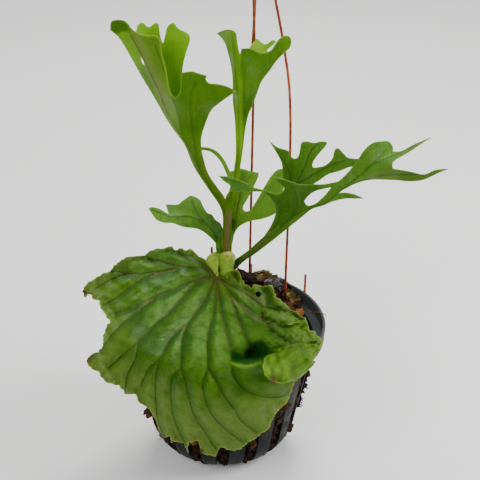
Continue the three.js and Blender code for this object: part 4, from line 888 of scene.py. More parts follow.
def pot_look():
    """Black plastic with a greyer rim, lighter still on its inner face as painted light, with worn streaks,
    dust and soil.
    """
    look = Look("pot_plastic", 0.42, 0.16)
    spot = look.node("SeparateXYZ", {0: look.coords}).outputs
    mottle = look.patches(24, 5, 0.6, 0.35, 0.7)
    wall = look.mix(mottle, (10, 10, 10), (24, 25, 25))
    rim = look.mix(mottle, (52, 55, 56), (78, 82, 82))
    look.body = look.mix(look.remap(spot["Z"], LEDGE * MM, RIM_HEIGHT * MM), wall, rim)
    # Painted light: the rim's inner face, above the ledge, lighter than its outside.
    squares = [look.math("POWER", spot[axis], 2) for axis in "XY"]
    radius = look.math("SQRT", look.math("ADD", *squares), 0)
    inside = look.remap(radius, (RIM_RADIUS - 1.9) * MM, (RIM_RADIUS - 1.4) * MM, 1, 0)
    look.over((62, 66, 67), inside, look.remap(spot["Z"], LEDGE * MM, (LEDGE + 1) * MM))
    look.over((76, 77, 75), look.patches(90, 6, 0.75, 0.5, 0.72, stretch=[1, 1, 0.12]), 0.2)
    look.over((110, 106, 98), look.patches(700, 3, 0.8, 0.58, 0.72), 0.12)
    look.over((74, 58, 44), look.patches(45, 5, 0.7, 0.62, 0.75), 0.35)
    return look.finish(look.patches(160, 5, 0.7, 0.3, 0.7, 0.4, 0.72),
                       (look.noise(900, 3), 0.06, 0.4), (look.noise(60, 3, 0.5), 0.3, 0.15))


def medium_look():
    """Husk, bark, moss and fibre: each chip carries its own kind and shade."""
    look = Look("growing_medium", 0.9, 0.2)
    kind = look.mark("kind")
    shade = look.mark("shade")
    grain = look.noise(260, 7, 0.75, stretch=[1, 0.5, 0.35])
    look.body = look.mix(shade, (22, 14, 8), (70, 42, 20))
    look.over((112, 72, 40), look.remap(grain, 0.5, 0.62, 0, 0.8), look.remap(shade, 0.1, 0.8, 0.3, 1))
    look.over((10, 7, 5), look.remap(grain, 0.35, 0.47, 0.9, 0))
    moss = look.mix(look.patches(300, 5, 0.7, 0.4, 0.65), (72, 58, 30), (142, 118, 68))
    grey = look.mix(look.patches(420, 5, 0.7, 0.4, 0.62), (72, 74, 74), (126, 128, 128))
    warm = look.mix(look.remap(grain, 0.3, 0.7), (100, 56, 20), (138, 86, 36))
    look.over(moss, look.remap(kind, 0.5, 0.6))
    look.over(warm, look.remap(kind, 2.5, 2.6))
    look.over((14, 9, 6), look.patches(150, 5, 0.8, 0.52, 0.66), 0.75)
    look.over(grey, look.remap(kind, 1.5, 1.6), look.remap(kind, 2.4, 2.5, 1, 0))
    return look.finish(look.remap(grain, 0.3, 0.7, 0.75, 1.0),
                       (grain, 1.6, 0.9), (look.noise(900, 5, 0.8), 0.6, 0.8))


def crown_look():
    """Pale folds, a greener lower part, painted shade in the pleats and a brown foot."""
    look = Look("crown_bud", 0.55, 0.25)
    look.inputs["Sheen Weight"].default_value = 0.05
    look.inputs["Sheen Roughness"].default_value = 0.5
    height = look.mark("height")
    pale = look.mix(look.patches(60, 4, 0.6, 0.35, 0.65), (134, 160, 28), (172, 190, 60))
    look.body = look.mix(look.patches(90, 4, 0.6, 0.35, 0.65), (70, 108, 14), (112, 146, 30))
    look.over(pale, look.remap(height, 122, 144))
    look.over((184, 186, 92), look.mark("cream"))
    # Painted shade in the creases of the pleats.
    look.over((66, 96, 14), look.remap(look.mark("crease"), 0.25, 0.95), 0.6)
    look.over((84, 112, 20), look.patches(380, 4, 0.7, 0.45, 0.62, 0, 0.35))
    foot = look.math("ADD", height, look.patches(120, 5, 0.7, 0.3, 0.7, -8, 8))
    look.over((84, 62, 34), look.remap(foot, 106, 124, 0.9, 0))
    return look.finish(look.patches(200, 3, 0.6, 0.3, 0.7, 0.45, 0.7),
                       (look.noise(500, 4, stretch=[1, 1, 0.25]), 0.3, 0.5),
                       (look.noise(1800, 2), 0.08, 0.5))


# Leaves
LEAF_CENTRE = np.array([-14.0, -28.0])
BROWN_TIPS = [(-110, -39, 5), (-107, -84, 3), (-28, -148, 3)]

# Zones of the drawing plane with a colour of their own, and zones of painted light and painted shade
HOLE_SHADE = [13.5,-32.8, 20.1,-32.8, 22.9,-38.9, 22.4,-45, 18.2,-46.9, 17.7,-42.2, 15.4,-37.5]
UPPER_DRAB_FOLD = [-13.7,-27.7, -5.2,-31.9, 4.1,-35.6, 10.7,-38.9, 15.4,-39.9, 18.2,-42.2, 18.2,-46.9,
                   8.8,-43.6, 1.3,-37.5, -12.7,-30]
LOWER_DRAB_FOLD = [-6.2,-41.3, 1.3,-45, 10.7,-53, 19.1,-56.7, 23.8,-58.6, 19.1,-59.1, 10.7,-56.3,
                   3.2,-49.7, -3.4,-45]
BRIGHT_LIP = [-6,-86.3, 3.5,-88.3, 8,-87.5, 15.4,-85.3, 15.4,-86.8, 8,-89.2, 3.5,-90, -6,-88]
DRAB_PANEL = [-79,146, -72,146, -65,142, -55,144, -53,122, -50,105, -41,74, -44,76, -56,99, -63,113,
              -70,132]
DRAB_STREAK = [-75,144, -70,144, -64,130, -60,118, -54,104, -49,88, -53,88, -59,104, -65,118, -70,131]
DIM_CORNER = [-68,142, -56,143, -53,128, -54,112, -58,118, -63,130]
DIM_STRIP = [-73,122, -64,118, -56,100, -50,84, -56,84, -62,98]
SLIT = [[-67.9,126, -66.5,121.6], [-68.4,123.6, -69.8,128.8]]
FRONT_PANEL = [-50,108, -42,121, -20,119, -8,112, 4,90, -20,70, -28,40, -34,40, -42,74]
DARK_TIP = [-95,150, -91,156, -84,156, -77,150, -76,146, -83,146, -88,143]
LIT_STRIP = [-15,147, -3,147, 0.5,129, 1.5,97, 2.8,60, 3,20, -6,20, -3,63, -4,112, -7,131]
DULL_PRONG = [84,41, 105,52.5, 119,49.6, 129,46.2, 145,52, 146,48, 130,40, 113,40, 98,41]
DARK_FORK = [18,4, 24,4, 36,14, 58,36, 52,42, 26,44, 14,42, 24,22]
FOLD_SHADE = [-6,-79, -5.5,-85.5, 3.5,-87.5, 8,-86.7, 15.4,-84.5, 16,-81.2, 24,-79.5, 19.3,-76, 15.5,-71,
             11,-72, 9,-78, 5,-77, 2.5,-81.5]
EAR_SHADE = [-8,-28, -6,-24, -2,-23, -1,-27, -3,-29]


def shield_relief(points, near, edge):
    """Pleats, the hollow above the tongue, a waved margin and fine crinkles."""
    x, y = points.T
    puff = PLEAT_DEPTH * (1 - np.exp(-near / PLEAT_REACH))
    above = y - HOLLOW["up"] - 0.15 * (x - HOLLOW["across"])
    above /= np.where(above > 0, HOLLOW["high"], HOLLOW["sharp"])
    hollow = HOLLOW["depth"] * np.exp(-((x - HOLLOW["across"]) / HOLLOW["wide"]) ** 2 - above ** 2)
    wave = MARGIN_WAVE * np.sin(0.55 * x + 0.3 * y) * np.exp(-(edge / MARGIN_REACH) ** 2)
    frill = 0.5 * np.sin(1.3 * x - 0.9 * y) * np.exp(-(edge / 3) ** 2)
    wrinkle = 0.6 * soft_noise(points, 9, 5) + 0.2 * soft_noise(points, 3.8, 6)
    folds = np.stack([(x + 0.3 * y) / 3.2, y - 0.3 * x], axis=1)
    crests = 0.5 - np.abs(soft_noise(folds, 5.5, 11))
    crinkle = 3.0 * crests + 0.8 * soft_noise(points, 4, 12)
    crinkle *= smoothstep(x, 10, 24) * smoothstep(-np.abs(y + 66), -26, -8)
    return puff - hollow + wave + frill + wrinkle * smoothstep(near, 0.5, 4) + crinkle


def tongue_relief(points, near, edge):
    """Soft folds that run along the rolled tongue, on top of the shield's own relief."""
    x, y = points.T
    folds = np.stack([0.22 * (0.86 * x + 0.51 * y), 0.51 * x - 0.86 * y], axis=1)
    return shield_relief(points, near, edge) + 2.1 * soft_noise(folds, 5.5, 61) * smoothstep(edge, 0, 4)


def frond_relief(points, near, edge):
    cup = 0.35 * (1 - np.exp(-(near / 4) ** 2))
    ripple = 0.3 * soft_noise(points, 12, 3) * smoothstep(near, 0.5, 4)
    return cup - 0.12 * np.exp(-(near / 0.6) ** 2) + ripple


def shield_marks(points):
    """Brown tips, painted sheen and painted shade on the two sides of the pleats, drab folds, painted deep
    shade and a painted highlight on the lip.
    """
    x, y = points.T
    brown = np.zeros(len(points))
    for across, up, size in BROWN_TIPS:
        ragged = size * (1 + 0.3 * soft_noise(points, 4, 21))
        brown = np.maximum(brown, 1 - smoothstep(np.hypot(x - across, y - up), 0.6 * ragged, ragged))
    rib_lines = rib_curves(SHIELD_FROND["ribs"])
    near, second = rib_distances(points, rib_lines)
    reach = np.linalg.norm(points - LEAF_CENTRE, axis=1)
    left = rib_side(points, rib_lines, LEAF_CENTRE) > 0
    across = near / np.maximum(near + second, 0.01)
    across = np.where(left, across, 1 - across)
    worn = soft_noise(points, 16, 41)
    # Painted shade: a dark band beside each rib, on the steep side of its pleat.
    flank = left * smoothstep(near, 0.1, 0.9) * (1 - smoothstep(near, 1.6, 4.6 + worn))
    flank *= smoothstep(reach, 6, 16) * (1 - 0.6 * smoothstep(reach, 60, 85))
    # Painted sheen: a pale band over the gentle side of each pleat near the crown.
    sheen = smoothstep(across + 0.1 * worn, 0.3, 0.5) * smoothstep(reach, 8, 20)
    sheen *= (1 - smoothstep(reach + 7 * worn, 54, 66)) * (1 - smoothstep(x, -2, 14))
    # Painted deep shade in the hollow above the tongue, and beside the first hole.
    fold = rows_of(FOLD_SHADE, 2)
    shade = (1 - smoothstep(line_distance(points, fold, True), 0.2, 2.2)) * (y > -84.5)
    shade = np.maximum(np.where(inside_loop(points, fold), 1, shade), 0.7 * within(points, HOLE_SHADE, 1.2))
    drab = np.maximum.reduce([within(points, UPPER_DRAB_FOLD, 1.2), within(points, LOWER_DRAB_FOLD, 1.2),
                              0.08 * smoothstep(reach + 12 * worn, 78, 104) * (y < -80)])
    return {"brown": brown, "olive": smoothstep(reach + 8 * worn, 66, 104), "sheen": sheen,
            "flank": flank, "shade": shade, "drab": drab, "reach": reach / 110,
            "sunlit": 0.6 * within(points, BRIGHT_LIP, 0.5)}


def tongue_marks(points):
    x, y = points.T
    spot = np.hypot(x - 23, y + 97.5) + 0.8 * soft_noise(points, 4, 21)
    # Painted light: pale streaks along the tongue's folds, stronger towards its left end.
    pale = smoothstep(soft_noise(points * [1.0, 0.35], 6, 22), -0.9, 0.7)
    lit = (0.25 + 0.6 * (1 - smoothstep(x, 26, 40))) * pale
    return {"brown": 1 - smoothstep(spot, 1.6, 3.6), "sunlit": lit, "reach": 0.6}


def ear_marks(points):
    return {"shade": 0.8 * within(points, EAR_SHADE, 1.0)}


def left_horn_marks(points):
    """The left horn: a drab rolled panel, painted shade on the front panel, a corner, a strip, the arm and
    the dark curled tip, and painted light on the rest.
    """
    drab = 0.8 * within(points, DRAB_PANEL) + 0.7 * within(points, DRAB_STREAK)
    front = within(points, FRONT_PANEL, 2.5)
    tip = within(points, DARK_TIP, 1.2)
    corner = within(points, DIM_CORNER, 2.5)
    strip = within(points, DIM_STRIP, 4)
    arm = 1 - smoothstep(points[:, 1], 46, 84)
    lit = 0.3 * (1 - np.minimum(drab, 1)) * (1 - front) * (1 - tip) * (1 - strip) * (1 - arm)
    return {"drab": np.maximum(drab * (1 - tip) * (1 - 0.6 * corner), 0.6 * arm), "sunlit": lit,
            "dim": np.maximum.reduce([0.55 * front, tip, 0.6 * corner, 0.5 * strip, 0.9 * arm])}


def right_horn_marks(points):
    """The right horn: painted shade over most of it, painted light on one strip, and a drab arm below."""
    x, y = points.T
    arm = 1 - smoothstep(y, 30, 60)
    strip = within(points, LIT_STRIP, 1.0) * (1 - 0.7 * arm)
    dim = 0.75 * (1 - strip) * (1 - smoothstep(x, 18, 34))
    return {"dim": dim, "drab": 0.4 * arm, "sunlit": 0.3 * strip}


def near_right_marks(points):
    """The near half of the right frond: painted shade at the fork by its stalk, and painted shade with a
    drab tone on its low prong.
    """
    prong = within(points, DULL_PRONG, 1.5)
    return {"dim": np.maximum(0.8 * within(points, DARK_FORK, 3.5), 0.6 * prong), "drab": 0.6 * prong}


def rib_curves(ribs):
    return [smooth_line(rows_of(rib, 2), NET_STEP) for rib in ribs]


def clear_runs(line, rings):
    """The stretches of a rib that lie in the leaf and clear of its edges."""
    keep = in_leaf(line, rings) & (edge_distance(line, rings) > RUN_GAP)
    spots = np.flatnonzero(keep)
    runs = np.split(spots, np.flatnonzero(np.diff(spots) > 1) + 1)
    return [line[run] for run in runs if len(run) > 1]


def leaf_net(rings, rib_lines):
    """Even triangles over the leaf, with edges along its outline and its ribs."""
    runs = [run for line in rib_lines for run in clear_runs(line, rings)]
    low, high = rings[0].min(0), rings[0].max(0)
    rows = []
    for i, y in enumerate(np.arange(low[1], high[1], NET_STEP * math.sqrt(0.75))):
        xs = np.arange(low[0] + (i % 2) * 0.5 * NET_STEP, high[0], NET_STEP)
        rows.append(np.stack([xs, np.full(len(xs), y)], axis=1))
    grid = np.vstack(rows)
    grid = grid[in_leaf(grid, rings)]
    grid = grid[edge_distance(grid, rings) > GRID_GAP]
    for run in runs:
        grid = grid[line_distance(grid, run) > RIB_GAP]
    constraints = []
    first = 0
    for i, line in enumerate(rings + runs):
        count = len(line)
        links = count if i < len(rings) else count - 1
        constraints += [(first + k, first + (k + 1) % count) for k in range(links)]
        first += count
    flat = [Vector(p) for p in np.vstack([*rings, *runs, grid])]
    vertices, _, triangles, *_ = delaunay_2d_cdt(flat, constraints, [], 0, 1e-7)
    points = np.array([tuple(v) for v in vertices])
    faces = np.array([f for f in triangles if len(f) == 3])
    faces = faces[in_leaf(points[faces].mean(axis=1), rings)]
    (ax, ay), (bx, by), (cx, cy) = points[faces].transpose(1, 2, 0)
    turn = (bx - ax) * (cy - ay) - (by - ay) * (cx - ax)
    faces[turn < 0] = faces[turn < 0][:, ::-1]
    return points, faces[np.abs(turn) > 1e-9]


def add_leaf_sheet(build, outline, guides, holes=(), ribs=(), relief=frond_relief, over_pot=False,
                   marks=(), ragged=0.0):
    """A closed leaf along its guides, with raised ribs and a thinner edge."""
    loop = trace_loop(outline)
    if ragged:
        ahead = unit(np.roll(loop, -1, axis=0) - np.roll(loop, 1, axis=0))
        outward = np.stack([ahead[:, 1], -ahead[:, 0]], axis=1)
        loop = loop + outward * (ragged * soft_noise(loop, 3.4, 51))[:, None]
    rings = [loop] + [trace_loop(hole) for hole in holes]
    rib_lines = rib_curves(ribs)
    points, faces = leaf_net(rings, rib_lines)
    edge = edge_distance(points, rings)
    near = rib_distances(points, rib_lines)[0]
    middle = place(points, guided_depth(points, guides) + relief(points, near, edge))
    if over_pot:
        middle = lay_over_pot(middle)
    a, b, c = middle[faces].transpose(1, 0, 2)
    cross = np.cross(b - a, c - a)
    normals = np.zeros_like(middle)
    for k in range(3):
        np.add.at(normals, faces[:, k], cross)
    normals /= np.maximum(np.linalg.norm(normals, axis=1), 1e-9)[:, None]
    thin = 0.55 + 0.45 * smoothstep(edge, 0, 1.5)
    swell = RIB_SWELL * np.exp(-(near / 1.6) ** 2) * smoothstep(edge, 0, 3)
    offset = normals * (0.5 * (BLADE * thin + swell))[:, None]
    count = len(points)
    shell = [tuple(f) for f in faces] + [(a + count, c + count, b + count) for a, b, c in faces]
    edges = {pair: True for a, b, c in faces for pair in ((a, b), (b, c), (c, a))}
    shell += [(a, a + count, b + count, b) for a, b in edges if (b, a) not in edges]
    found = {"near_rib": near, "near_edge": line_distance(points, loop, True),
             "across": points[:, 0], "up": points[:, 1]}
    found.update(marks(points) if callable(marks) else marks)
    found = {name: np.tile(np.broadcast_to(value, count), 2) for name, value in found.items()}
    build.add(np.vstack([middle + offset, middle - offset]), shell, under=np.repeat([0, 1], count), **found)


def add_stalk(build, stations, purple, dim):
    """A stalk that turns purplish brown towards its foot, darkened by painted shade as asked."""
    line = smooth_line(rows_of(stations, 5), 1.0)
    foot = purple * (1 - smoothstep(np.linspace(0, 1, len(line)), 0.7, 1))
    add_rod(build, line, sides=24, middle="purple", near_rib=3, near_edge=30,
            across=line[:, 0], up=line[:, 1], purple=foot, dim=dim)


def leaf_piece(name, node, look, sheets, stalk=None, purple=0.0, dim=0.0):
    build = Build()
    for sheet in sheets:
        add_leaf_sheet(build, **sheet)
    if stalk:
        add_stalk(build, stalk, purple, dim)
    finish_piece(build.object(name), node, look)


shield_look = leaf_look(
    "shield_leaf", deep=(40, 82, 0), bright=(64, 104, 0), down_and_sheen=(80, 120, 38), vein=(86, 68, 30),
    far_vein=(26, 46, 2), outer=(88, 110, 38), margin=(132, 140, 54), below=(104, 134, 36),
    sunlit=(112, 158, 20), drab=(124, 134, 78), vein_width=0.75, down_share=0.12, specular=0.1,
    streaks=False)
tall_look = leaf_look(
    "tall_leaf", deep=(64, 112, 0), bright=(96, 142, 0), down_and_sheen=(122, 156, 60), vein=(56, 88, 8),
    far_vein=(56, 88, 8), outer=(88, 132, 4), margin=(112, 136, 36), below=(120, 164, 16),
    sunlit=(138, 184, 40), drab=(100, 112, 46), down_share=0.06, specular=0.07)
cool_look = leaf_look(
    "right_leaf", deep=(58, 104, 20), bright=(88, 134, 34), down_and_sheen=(112, 148, 76), vein=(48, 76, 16),
    far_vein=(48, 76, 16), outer=(84, 124, 30), margin=(98, 126, 44), below=(96, 138, 30),
    sunlit=(126, 168, 52), drab=(92, 108, 40), roughness=0.46)

leaf_piece("shield_frond_leaf", "shield_frond", shield_look, [
    dict(SHIELD_FROND, relief=shield_relief, marks=shield_marks, ragged=0.55),
    dict(ROLLED_TONGUE, relief=tongue_relief, marks=tongue_marks, ragged=0.4),
    dict(CURLED_EAR, marks=ear_marks),
])
leaf_piece("tall_frond_leaf", "tall_frond", tall_look, [
    dict(TALL_LEFT_HORN, marks=left_horn_marks, holes=[SLIT]),
    dict(TALL_RIGHT_HORN, marks=right_horn_marks),
    dict(TALL_LEFT_BACK, marks={"sunlit": 1}),
    dict(TALL_RIGHT_BACK, marks={"sunlit": 1}),
], TALL_STALK, purple=0.9, dim=0.5)
leaf_piece("rear_frond_leaf", "rear_frond", cool_look,
           [dict(REAR_FROND, marks={"sunlit": 0.5})], REAR_STALK)
leaf_piece("right_frond_leaf", "right_frond", cool_look,
           [dict(RIGHT_NEAR, marks=near_right_marks), RIGHT_FAR], RIGHT_STALK, purple=0.4, dim=0.5)
leaf_piece("left_frond_leaf", "left_frond", cool_look, [LEFT_FROND], LEFT_STALK)


# Pot
ROUND_STEPS = 14
POT_FACETS = 192
SLOT_EDGE_ROUNDING = 0.35


def rounding_arc(inset, steps):
    """The rounded foot of the wall, from the flat base up to the straight part."""
    radius = BASE_ROUNDING - inset
    angles = np.linspace(-math.pi / 2, -WALL_LEAN, steps + 1)
    return np.stack([BASE_FLAT + radius * np.cos(angles), BASE_ROUNDING + radius * np.sin(angles)], axis=1)


def pot_profile():
    """Half a section of the pot: out along the base, up the wall, over the rim and back inside."""
    foot = pot_wall_radius(LEDGE - 1.5)
    inside = pot_wall_radius(LEDGE, WALL)
    rim = [[foot, LEDGE - 1.5], [foot + 0.8, LEDGE - 0.9], [RIM_RADIUS - 1.2, LEDGE - 0.2],
           [RIM_RADIUS - 0.6, LEDGE + 0.5], [RIM_RADIUS - 0.1, RIM_HEIGHT - 1.6],
           [RIM_RADIUS, RIM_HEIGHT - 0.7], [RIM_RADIUS - 0.4, RIM_HEIGHT - 0.15],
           [RIM_RADIUS - 1.0, RIM_HEIGHT], [RIM_RADIUS - WALL, RIM_HEIGHT - 0.4],
           [RIM_RADIUS - WALL - 0.5, LEDGE + WALL + 0.6], [RIM_RADIUS - WALL - 1.3, LEDGE + WALL],
           [inside + 1, LEDGE + 0.9], [inside, LEDGE]]
    inner_foot = rounding_arc(WALL, ROUND_STEPS - 2)[::-1]
    return np.vstack([[[0, 0]], rounding_arc(0, ROUND_STEPS), rim, inner_foot, [[0, WALL]]])


def slot_cutters():
    """One wedge for each slot, from near the base's middle out through the wall."""
    build = Build()
    base, top = 0.5 * SLOT_WIDTH_BASE, 0.5 * SLOT_WIDTH_TOP
    for i in range(SLOTS):
        turn = FULL_TURN * i / SLOTS
        corners = []
        for reach in (SLOT_START, SLOT_START + 50):
            for x, height in ((-base, -1), (base, -1), (top, SLOT_TOP), (-top, SLOT_TOP)):
                corners.append((x * math.cos(turn) + reach * math.sin(turn),
                                x * math.sin(turn) - reach * math.cos(turn), height))
        sides = [(k, (k + 1) % 4, (k + 1) % 4 + 4, k + 4) for k in range(4)]
        build.add(corners, [(3, 2, 1, 0), (4, 5, 6, 7), *sides])
    return build.object("slot_cutters")


def make_pot():
    build = Build()
    build.add(*turn_profile(pot_profile(), POT_FACETS))
    pot = build.object("hanging_pot", sharp=35)
    cutters = slot_cutters()
    cut = pot.modifiers.new("slots", "BOOLEAN")
    cut.operation = "DIFFERENCE"
    cut.solver = "MANIFOLD"
    cut.object = cutters
    edges = pot.modifiers.new("edges", "BEVEL")
    edges.width = SLOT_EDGE_ROUNDING * MM
    edges.segments = 2
    edges.limit_method = "ANGLE"
    edges.angle_limit = math.radians(40)
    edges.harden_normals = True
    bpy.context.view_layer.update()
    evaluated = pot.evaluated_get(bpy.context.evaluated_depsgraph_get())
    finished = bpy.data.meshes.new_from_object(evaluated)
    pot.modifiers.clear()
    pot.data = finished
    bpy.data.objects.remove(cutters)
    finish_piece(pot, "pot", pot_look())


make_pot()


# Growing medium
HUSK, MOSS, GREY, WARM = range(4)
MOUTH_CHIPS = 430
MOUTH_REACH = 62
CROWN_CLEARANCE = 14
BERM_HEIGHT = 9.5
BERM_EDGE = (53, 60)
MEDIUM_FACETS = 96
LOOSE_FIBRES = 150
SLOT_FIBRES = 90
RING_CHIPS = 120
CHIP_FIBRES = 14
TUFT_STRANDS = 110
TUFTS = [(30, 57, 107, 15, MOSS), (23, 58, 106, 9, MOSS), (48, 42, 101, 11, MOSS), (53, 36, 99, 8, MOSS),
         (39, 47, 108, 9, GREY), (34, 50, 107, 7, GREY), (43, 43, 105, 6, GREY)]

# A strand of moss over the rim on the right, and a dark flat chip in the hollow beside the crown, put there
# as painted shade seen through the shield's second hole
RIM_STRAND = [(60, 28, 98), (74, 2, 108)]
PAINTED_SHADE_CHIP = [(27, 28, 94), (14, 12, 5)]


@functools.cache
def divided_cube(cuts):
    mesh = bmesh.new()
    bmesh.ops.create_cube(mesh, size=1)
    bmesh.ops.subdivide_edges(mesh, edges=mesh.edges[:], cuts=cuts, use_grid_fill=True)
    points = np.array([v.co[:] for v in mesh.verts])
    faces = [tuple(v.index for v in f.verts) for f in mesh.faces]
    mesh.free()
    return points, faces


class Heap(Build):
    """Chips, fibres and tufts, laid by one row of seeded random numbers."""

    def __init__(self, seed):
        super().__init__()
        self.rng = np.random.default_rng(seed)

    def draw(self, low=0.0, high=1.0, size=None):
        return self.rng.uniform(low, high, size)

    def chip(self, centre, size, kind=HUSK, turn_by=None, lean_by=None, cuts=2, ragged=0.16, shade=None):
        """A torn chip: a block divided, pulled towards round, with its points moved about."""
        cube, faces = divided_cube(cuts)
        roundness = self.draw(0.15, 0.45)
        points = cube * (1 - roundness) + 0.55 * unit(cube) * roundness
        waves = self.rng.normal(size=(3, 3)) * 4
        points += ragged * 0.5 * np.sin(points @ waves + self.draw(0, 6, 3))
        grooves = soft_noise(points * [0.6, 3.5, 3.5], 1.0, int(self.rng.integers(1, 40)))
        points *= 1 + 0.11 * grooves[:, None]
        points += self.rng.normal(scale=0.03, size=points.shape)
        turn_by = self.draw(0, FULL_TURN) if turn_by is None else turn_by
        lean_by = self.draw(-0.6, 0.6) if lean_by is None else lean_by
        turn = (Matrix.Rotation(turn_by, 3, "Z") @ Matrix.Rotation(lean_by, 3, "Y")
                @ Matrix.Rotation(self.draw(-0.4, 0.4), 3, "X"))
        points = (points * size) @ np.array(turn).T + centre
        self.add(points, faces, kind=kind, shade=self.draw(0.1, 1) if shade is None else shade)

    def fibre(self, start, end, radius=0.22, kind=HUSK, sway=5.0, shade=0.6):
        start, end = np.asarray(start, float), np.asarray(end, float)
        middle = [start + (end - start) * t + self.rng.normal(scale=sway * 0.4, size=3)
                  for t in (0.33, 0.66)]
        add_wire(self, smooth_line([start, *middle, end], 1.5), radius, sides=5, kind=kind, shade=shade)

    def tuft(self, centre, size, kind):
        """A lump of moss or grey fibre: a rough core under many short curled strands."""
        self.chip(centre, size * np.array([0.85, 0.65, 0.45]), kind, cuts=8, ragged=0.4)
        for _ in range(TUFT_STRANDS):
            direction = unit(self.rng.normal(size=3) * [1, 1, 0.35])
            start = centre + direction * size * 0.3
            end = start + direction * size * 0.18 + self.rng.normal(scale=size * 0.1, size=3)
            self.fibre(start, end, radius=0.16, kind=kind, sway=size * 0.12)


def slot_angle(slot):
    """The slots are counted from the front."""
    return FULL_TURN * slot / SLOTS - math.pi / 2


def add_core(heap):
    """The bulk of the medium: it fills the pot, lumpy on top and behind the slots."""
    inset = WALL + 0.6
    wall = [[pot_wall_radius(z, inset), z] for z in range(36, 79, 6)]
    surface = [[pot_wall_radius(MEDIUM_LEVEL, inset) * s, MEDIUM_LEVEL] for s in np.linspace(1, 0, 26)]
    profile = np.vstack([[[0, inset]], rounding_arc(inset, 8), wall, surface])
    points, faces = turn_profile(profile, MEDIUM_FACETS)
    top = points[:, 2] >= MEDIUM_LEVEL - 0.01
    points[top, 2] = medium_top(points[top, 0], points[top, 1])
    lump = soft_noise(points, 7, 31) + 0.6 * soft_noise(points, 3, 32)
    radial = np.hypot(points[:, 0], points[:, 1])
    points[top, 2] += 1.3 * lump[top] + BERM_HEIGHT * smoothstep(radial[top], *BERM_EDGE)
    side = ~top & (radial > 25)
    points[:, :2] *= (1 - (1.6 + 1.5 * lump) / np.maximum(radial, 1) * side)[:, None]
    heap.add(points, faces, kind=HUSK, shade=0.25 + 0.2 * soft_noise(points, 12, 33))


def add_top_chips(heap):
    """The large chips that the photo shows, with fibres on them, and small ones over the whole mouth."""
    for row in rows_of(CHIPS, 8):
        centre, size, angles = row[:3], row[3:6], np.radians(row[6:])
        kind = WARM if centre[0] > 50 else HUSK
        heap.chip(centre, size, kind, *angles, cuts=8, ragged=0.22)
        for _ in range(CHIP_FIBRES):
            start = centre + heap.draw(-0.45, 0.45, 3) * size
            end = start + heap.rng.normal(size=3) * [6, 6, 3]
            heap.fibre(start, end, radius=heap.draw(0.15, 0.3), kind=kind, sway=2, shade=1)
    for _ in range(MOUTH_CHIPS):
        angle = heap.draw(0, FULL_TURN)
        r = MOUTH_REACH * math.sqrt(heap.draw())
        spot = around(angle, r, 0)
        if math.dist(spot[:2], CROWN_CENTRE[:2]) < CROWN_CLEARANCE:
            continue
        long = heap.draw(4, 11)
        spot[2] = medium_top(*spot[:2]) + heap.draw(-0.5, 2.2)
        size = (long, long * heap.draw(0.35, 0.8), long * heap.draw(0.25, 0.6))
        spot[:2] *= min(1, (MOUTH_REACH + 0.5 - 0.5 * long) / r)
        kind = WARM if heap.draw() < 0.1 and r > 48 else HUSK
        heap.chip(spot, size, kind, cuts=3, ragged=0.24)


def add_slot_chips(heap):
    """The chips that stick out of the slots, and a row of chips behind every slot."""
    for slot, height, reach, size in rows_of(SLOT_CHIPS, 4):
        angle = slot_angle(slot)
        spot = around(angle, pot_wall_radius(height) + reach - size, height)
        heap.chip(spot, (2 * size, 0.8 * size, size), HUSK, angle, math.radians(25), cuts=4)
    for slot in range(SLOTS):
        for height in np.arange(8, SLOT_TOP, 3.4):
            angle = slot_angle(slot) + heap.draw(-0.05, 0.05)
            long = heap.draw(4.5, 9)
            r = pot_wall_radius(height, WALL) - 0.42 * long + heap.draw(-0.5, 1.2)
            kind = WARM if heap.draw() < 0.03 else HUSK
            size = (long, min(long * 0.8, 6.5), long * heap.draw(0.4, 0.8))
            heap.chip(around(angle, r, height), size, kind, angle, math.radians(heap.draw(-25, 25)),
                      ragged=0.3, shade=heap.draw(0, 0.6) ** 1.5)


def add_fibres(heap):
    """Loose fibres on the medium, and upright ones behind the slots."""
    for _ in range(LOOSE_FIBRES):
        start = around(heap.draw(0, FULL_TURN), heap.draw(8, 56), 0)
        start[2] = medium_top(*start[:2])
        away = heap.draw(5, 16)
        end = start + around(heap.draw(0, FULL_TURN), away, heap.draw(1, 5))
        if math.hypot(end[0], end[1]) < MOUTH_REACH:
            heap.fibre(start, end, radius=heap.draw(0.12, 0.32), sway=3, shade=heap.draw(0.3, 1))
    for _ in range(SLOT_FIBRES):
        angle = slot_angle(heap.rng.integers(0, SLOTS)) + heap.draw(-0.06, 0.06)
        low = heap.draw(12, 70)
        ends = [around(angle, pot_wall_radius(height, WALL) - 1 + heap.draw(0, 2), height)
                for height in (low, low + heap.draw(6, 16))]
        heap.fibre(*ends, radius=heap.draw(0.12, 0.25), sway=1.5, kind=WARM, shade=0.8)


def add_twigs(heap):
    """Dark twigs that poke out of the slot on the right."""
    for height in np.arange(29, 68, 2.6):
        angle = heap.draw(-0.12, 0.1)
        long = heap.draw(6, 9)
        r = pot_wall_radius(height) + heap.draw(1.5, 3.5) - 0.5 * long
        heap.chip(around(angle, r, height), (long, 0.6 * long, 0.6 * long), cuts=4, ragged=0.4, shade=0.05)
        tip = r + 0.5 * long + heap.draw(0.5, 2)
        heap.fibre((r, 0, height), (tip, heap.draw(-5, 3), height + heap.draw(-3, 3)),
                   radius=0.45, sway=0.6, shade=0)


def add_ring_chips(heap):
    """Chips all round under the rim, so that the tops of the slots aren't seen through."""
    for i in range(RING_CHIPS):
        angle = FULL_TURN * (i + heap.draw()) / RING_CHIPS
        r = heap.draw(56, 61)
        long = heap.draw(6, 10)
        heap.chip(around(angle, r, heap.draw(84, 90)), (long, 0.6 * long, 0.6 * long))


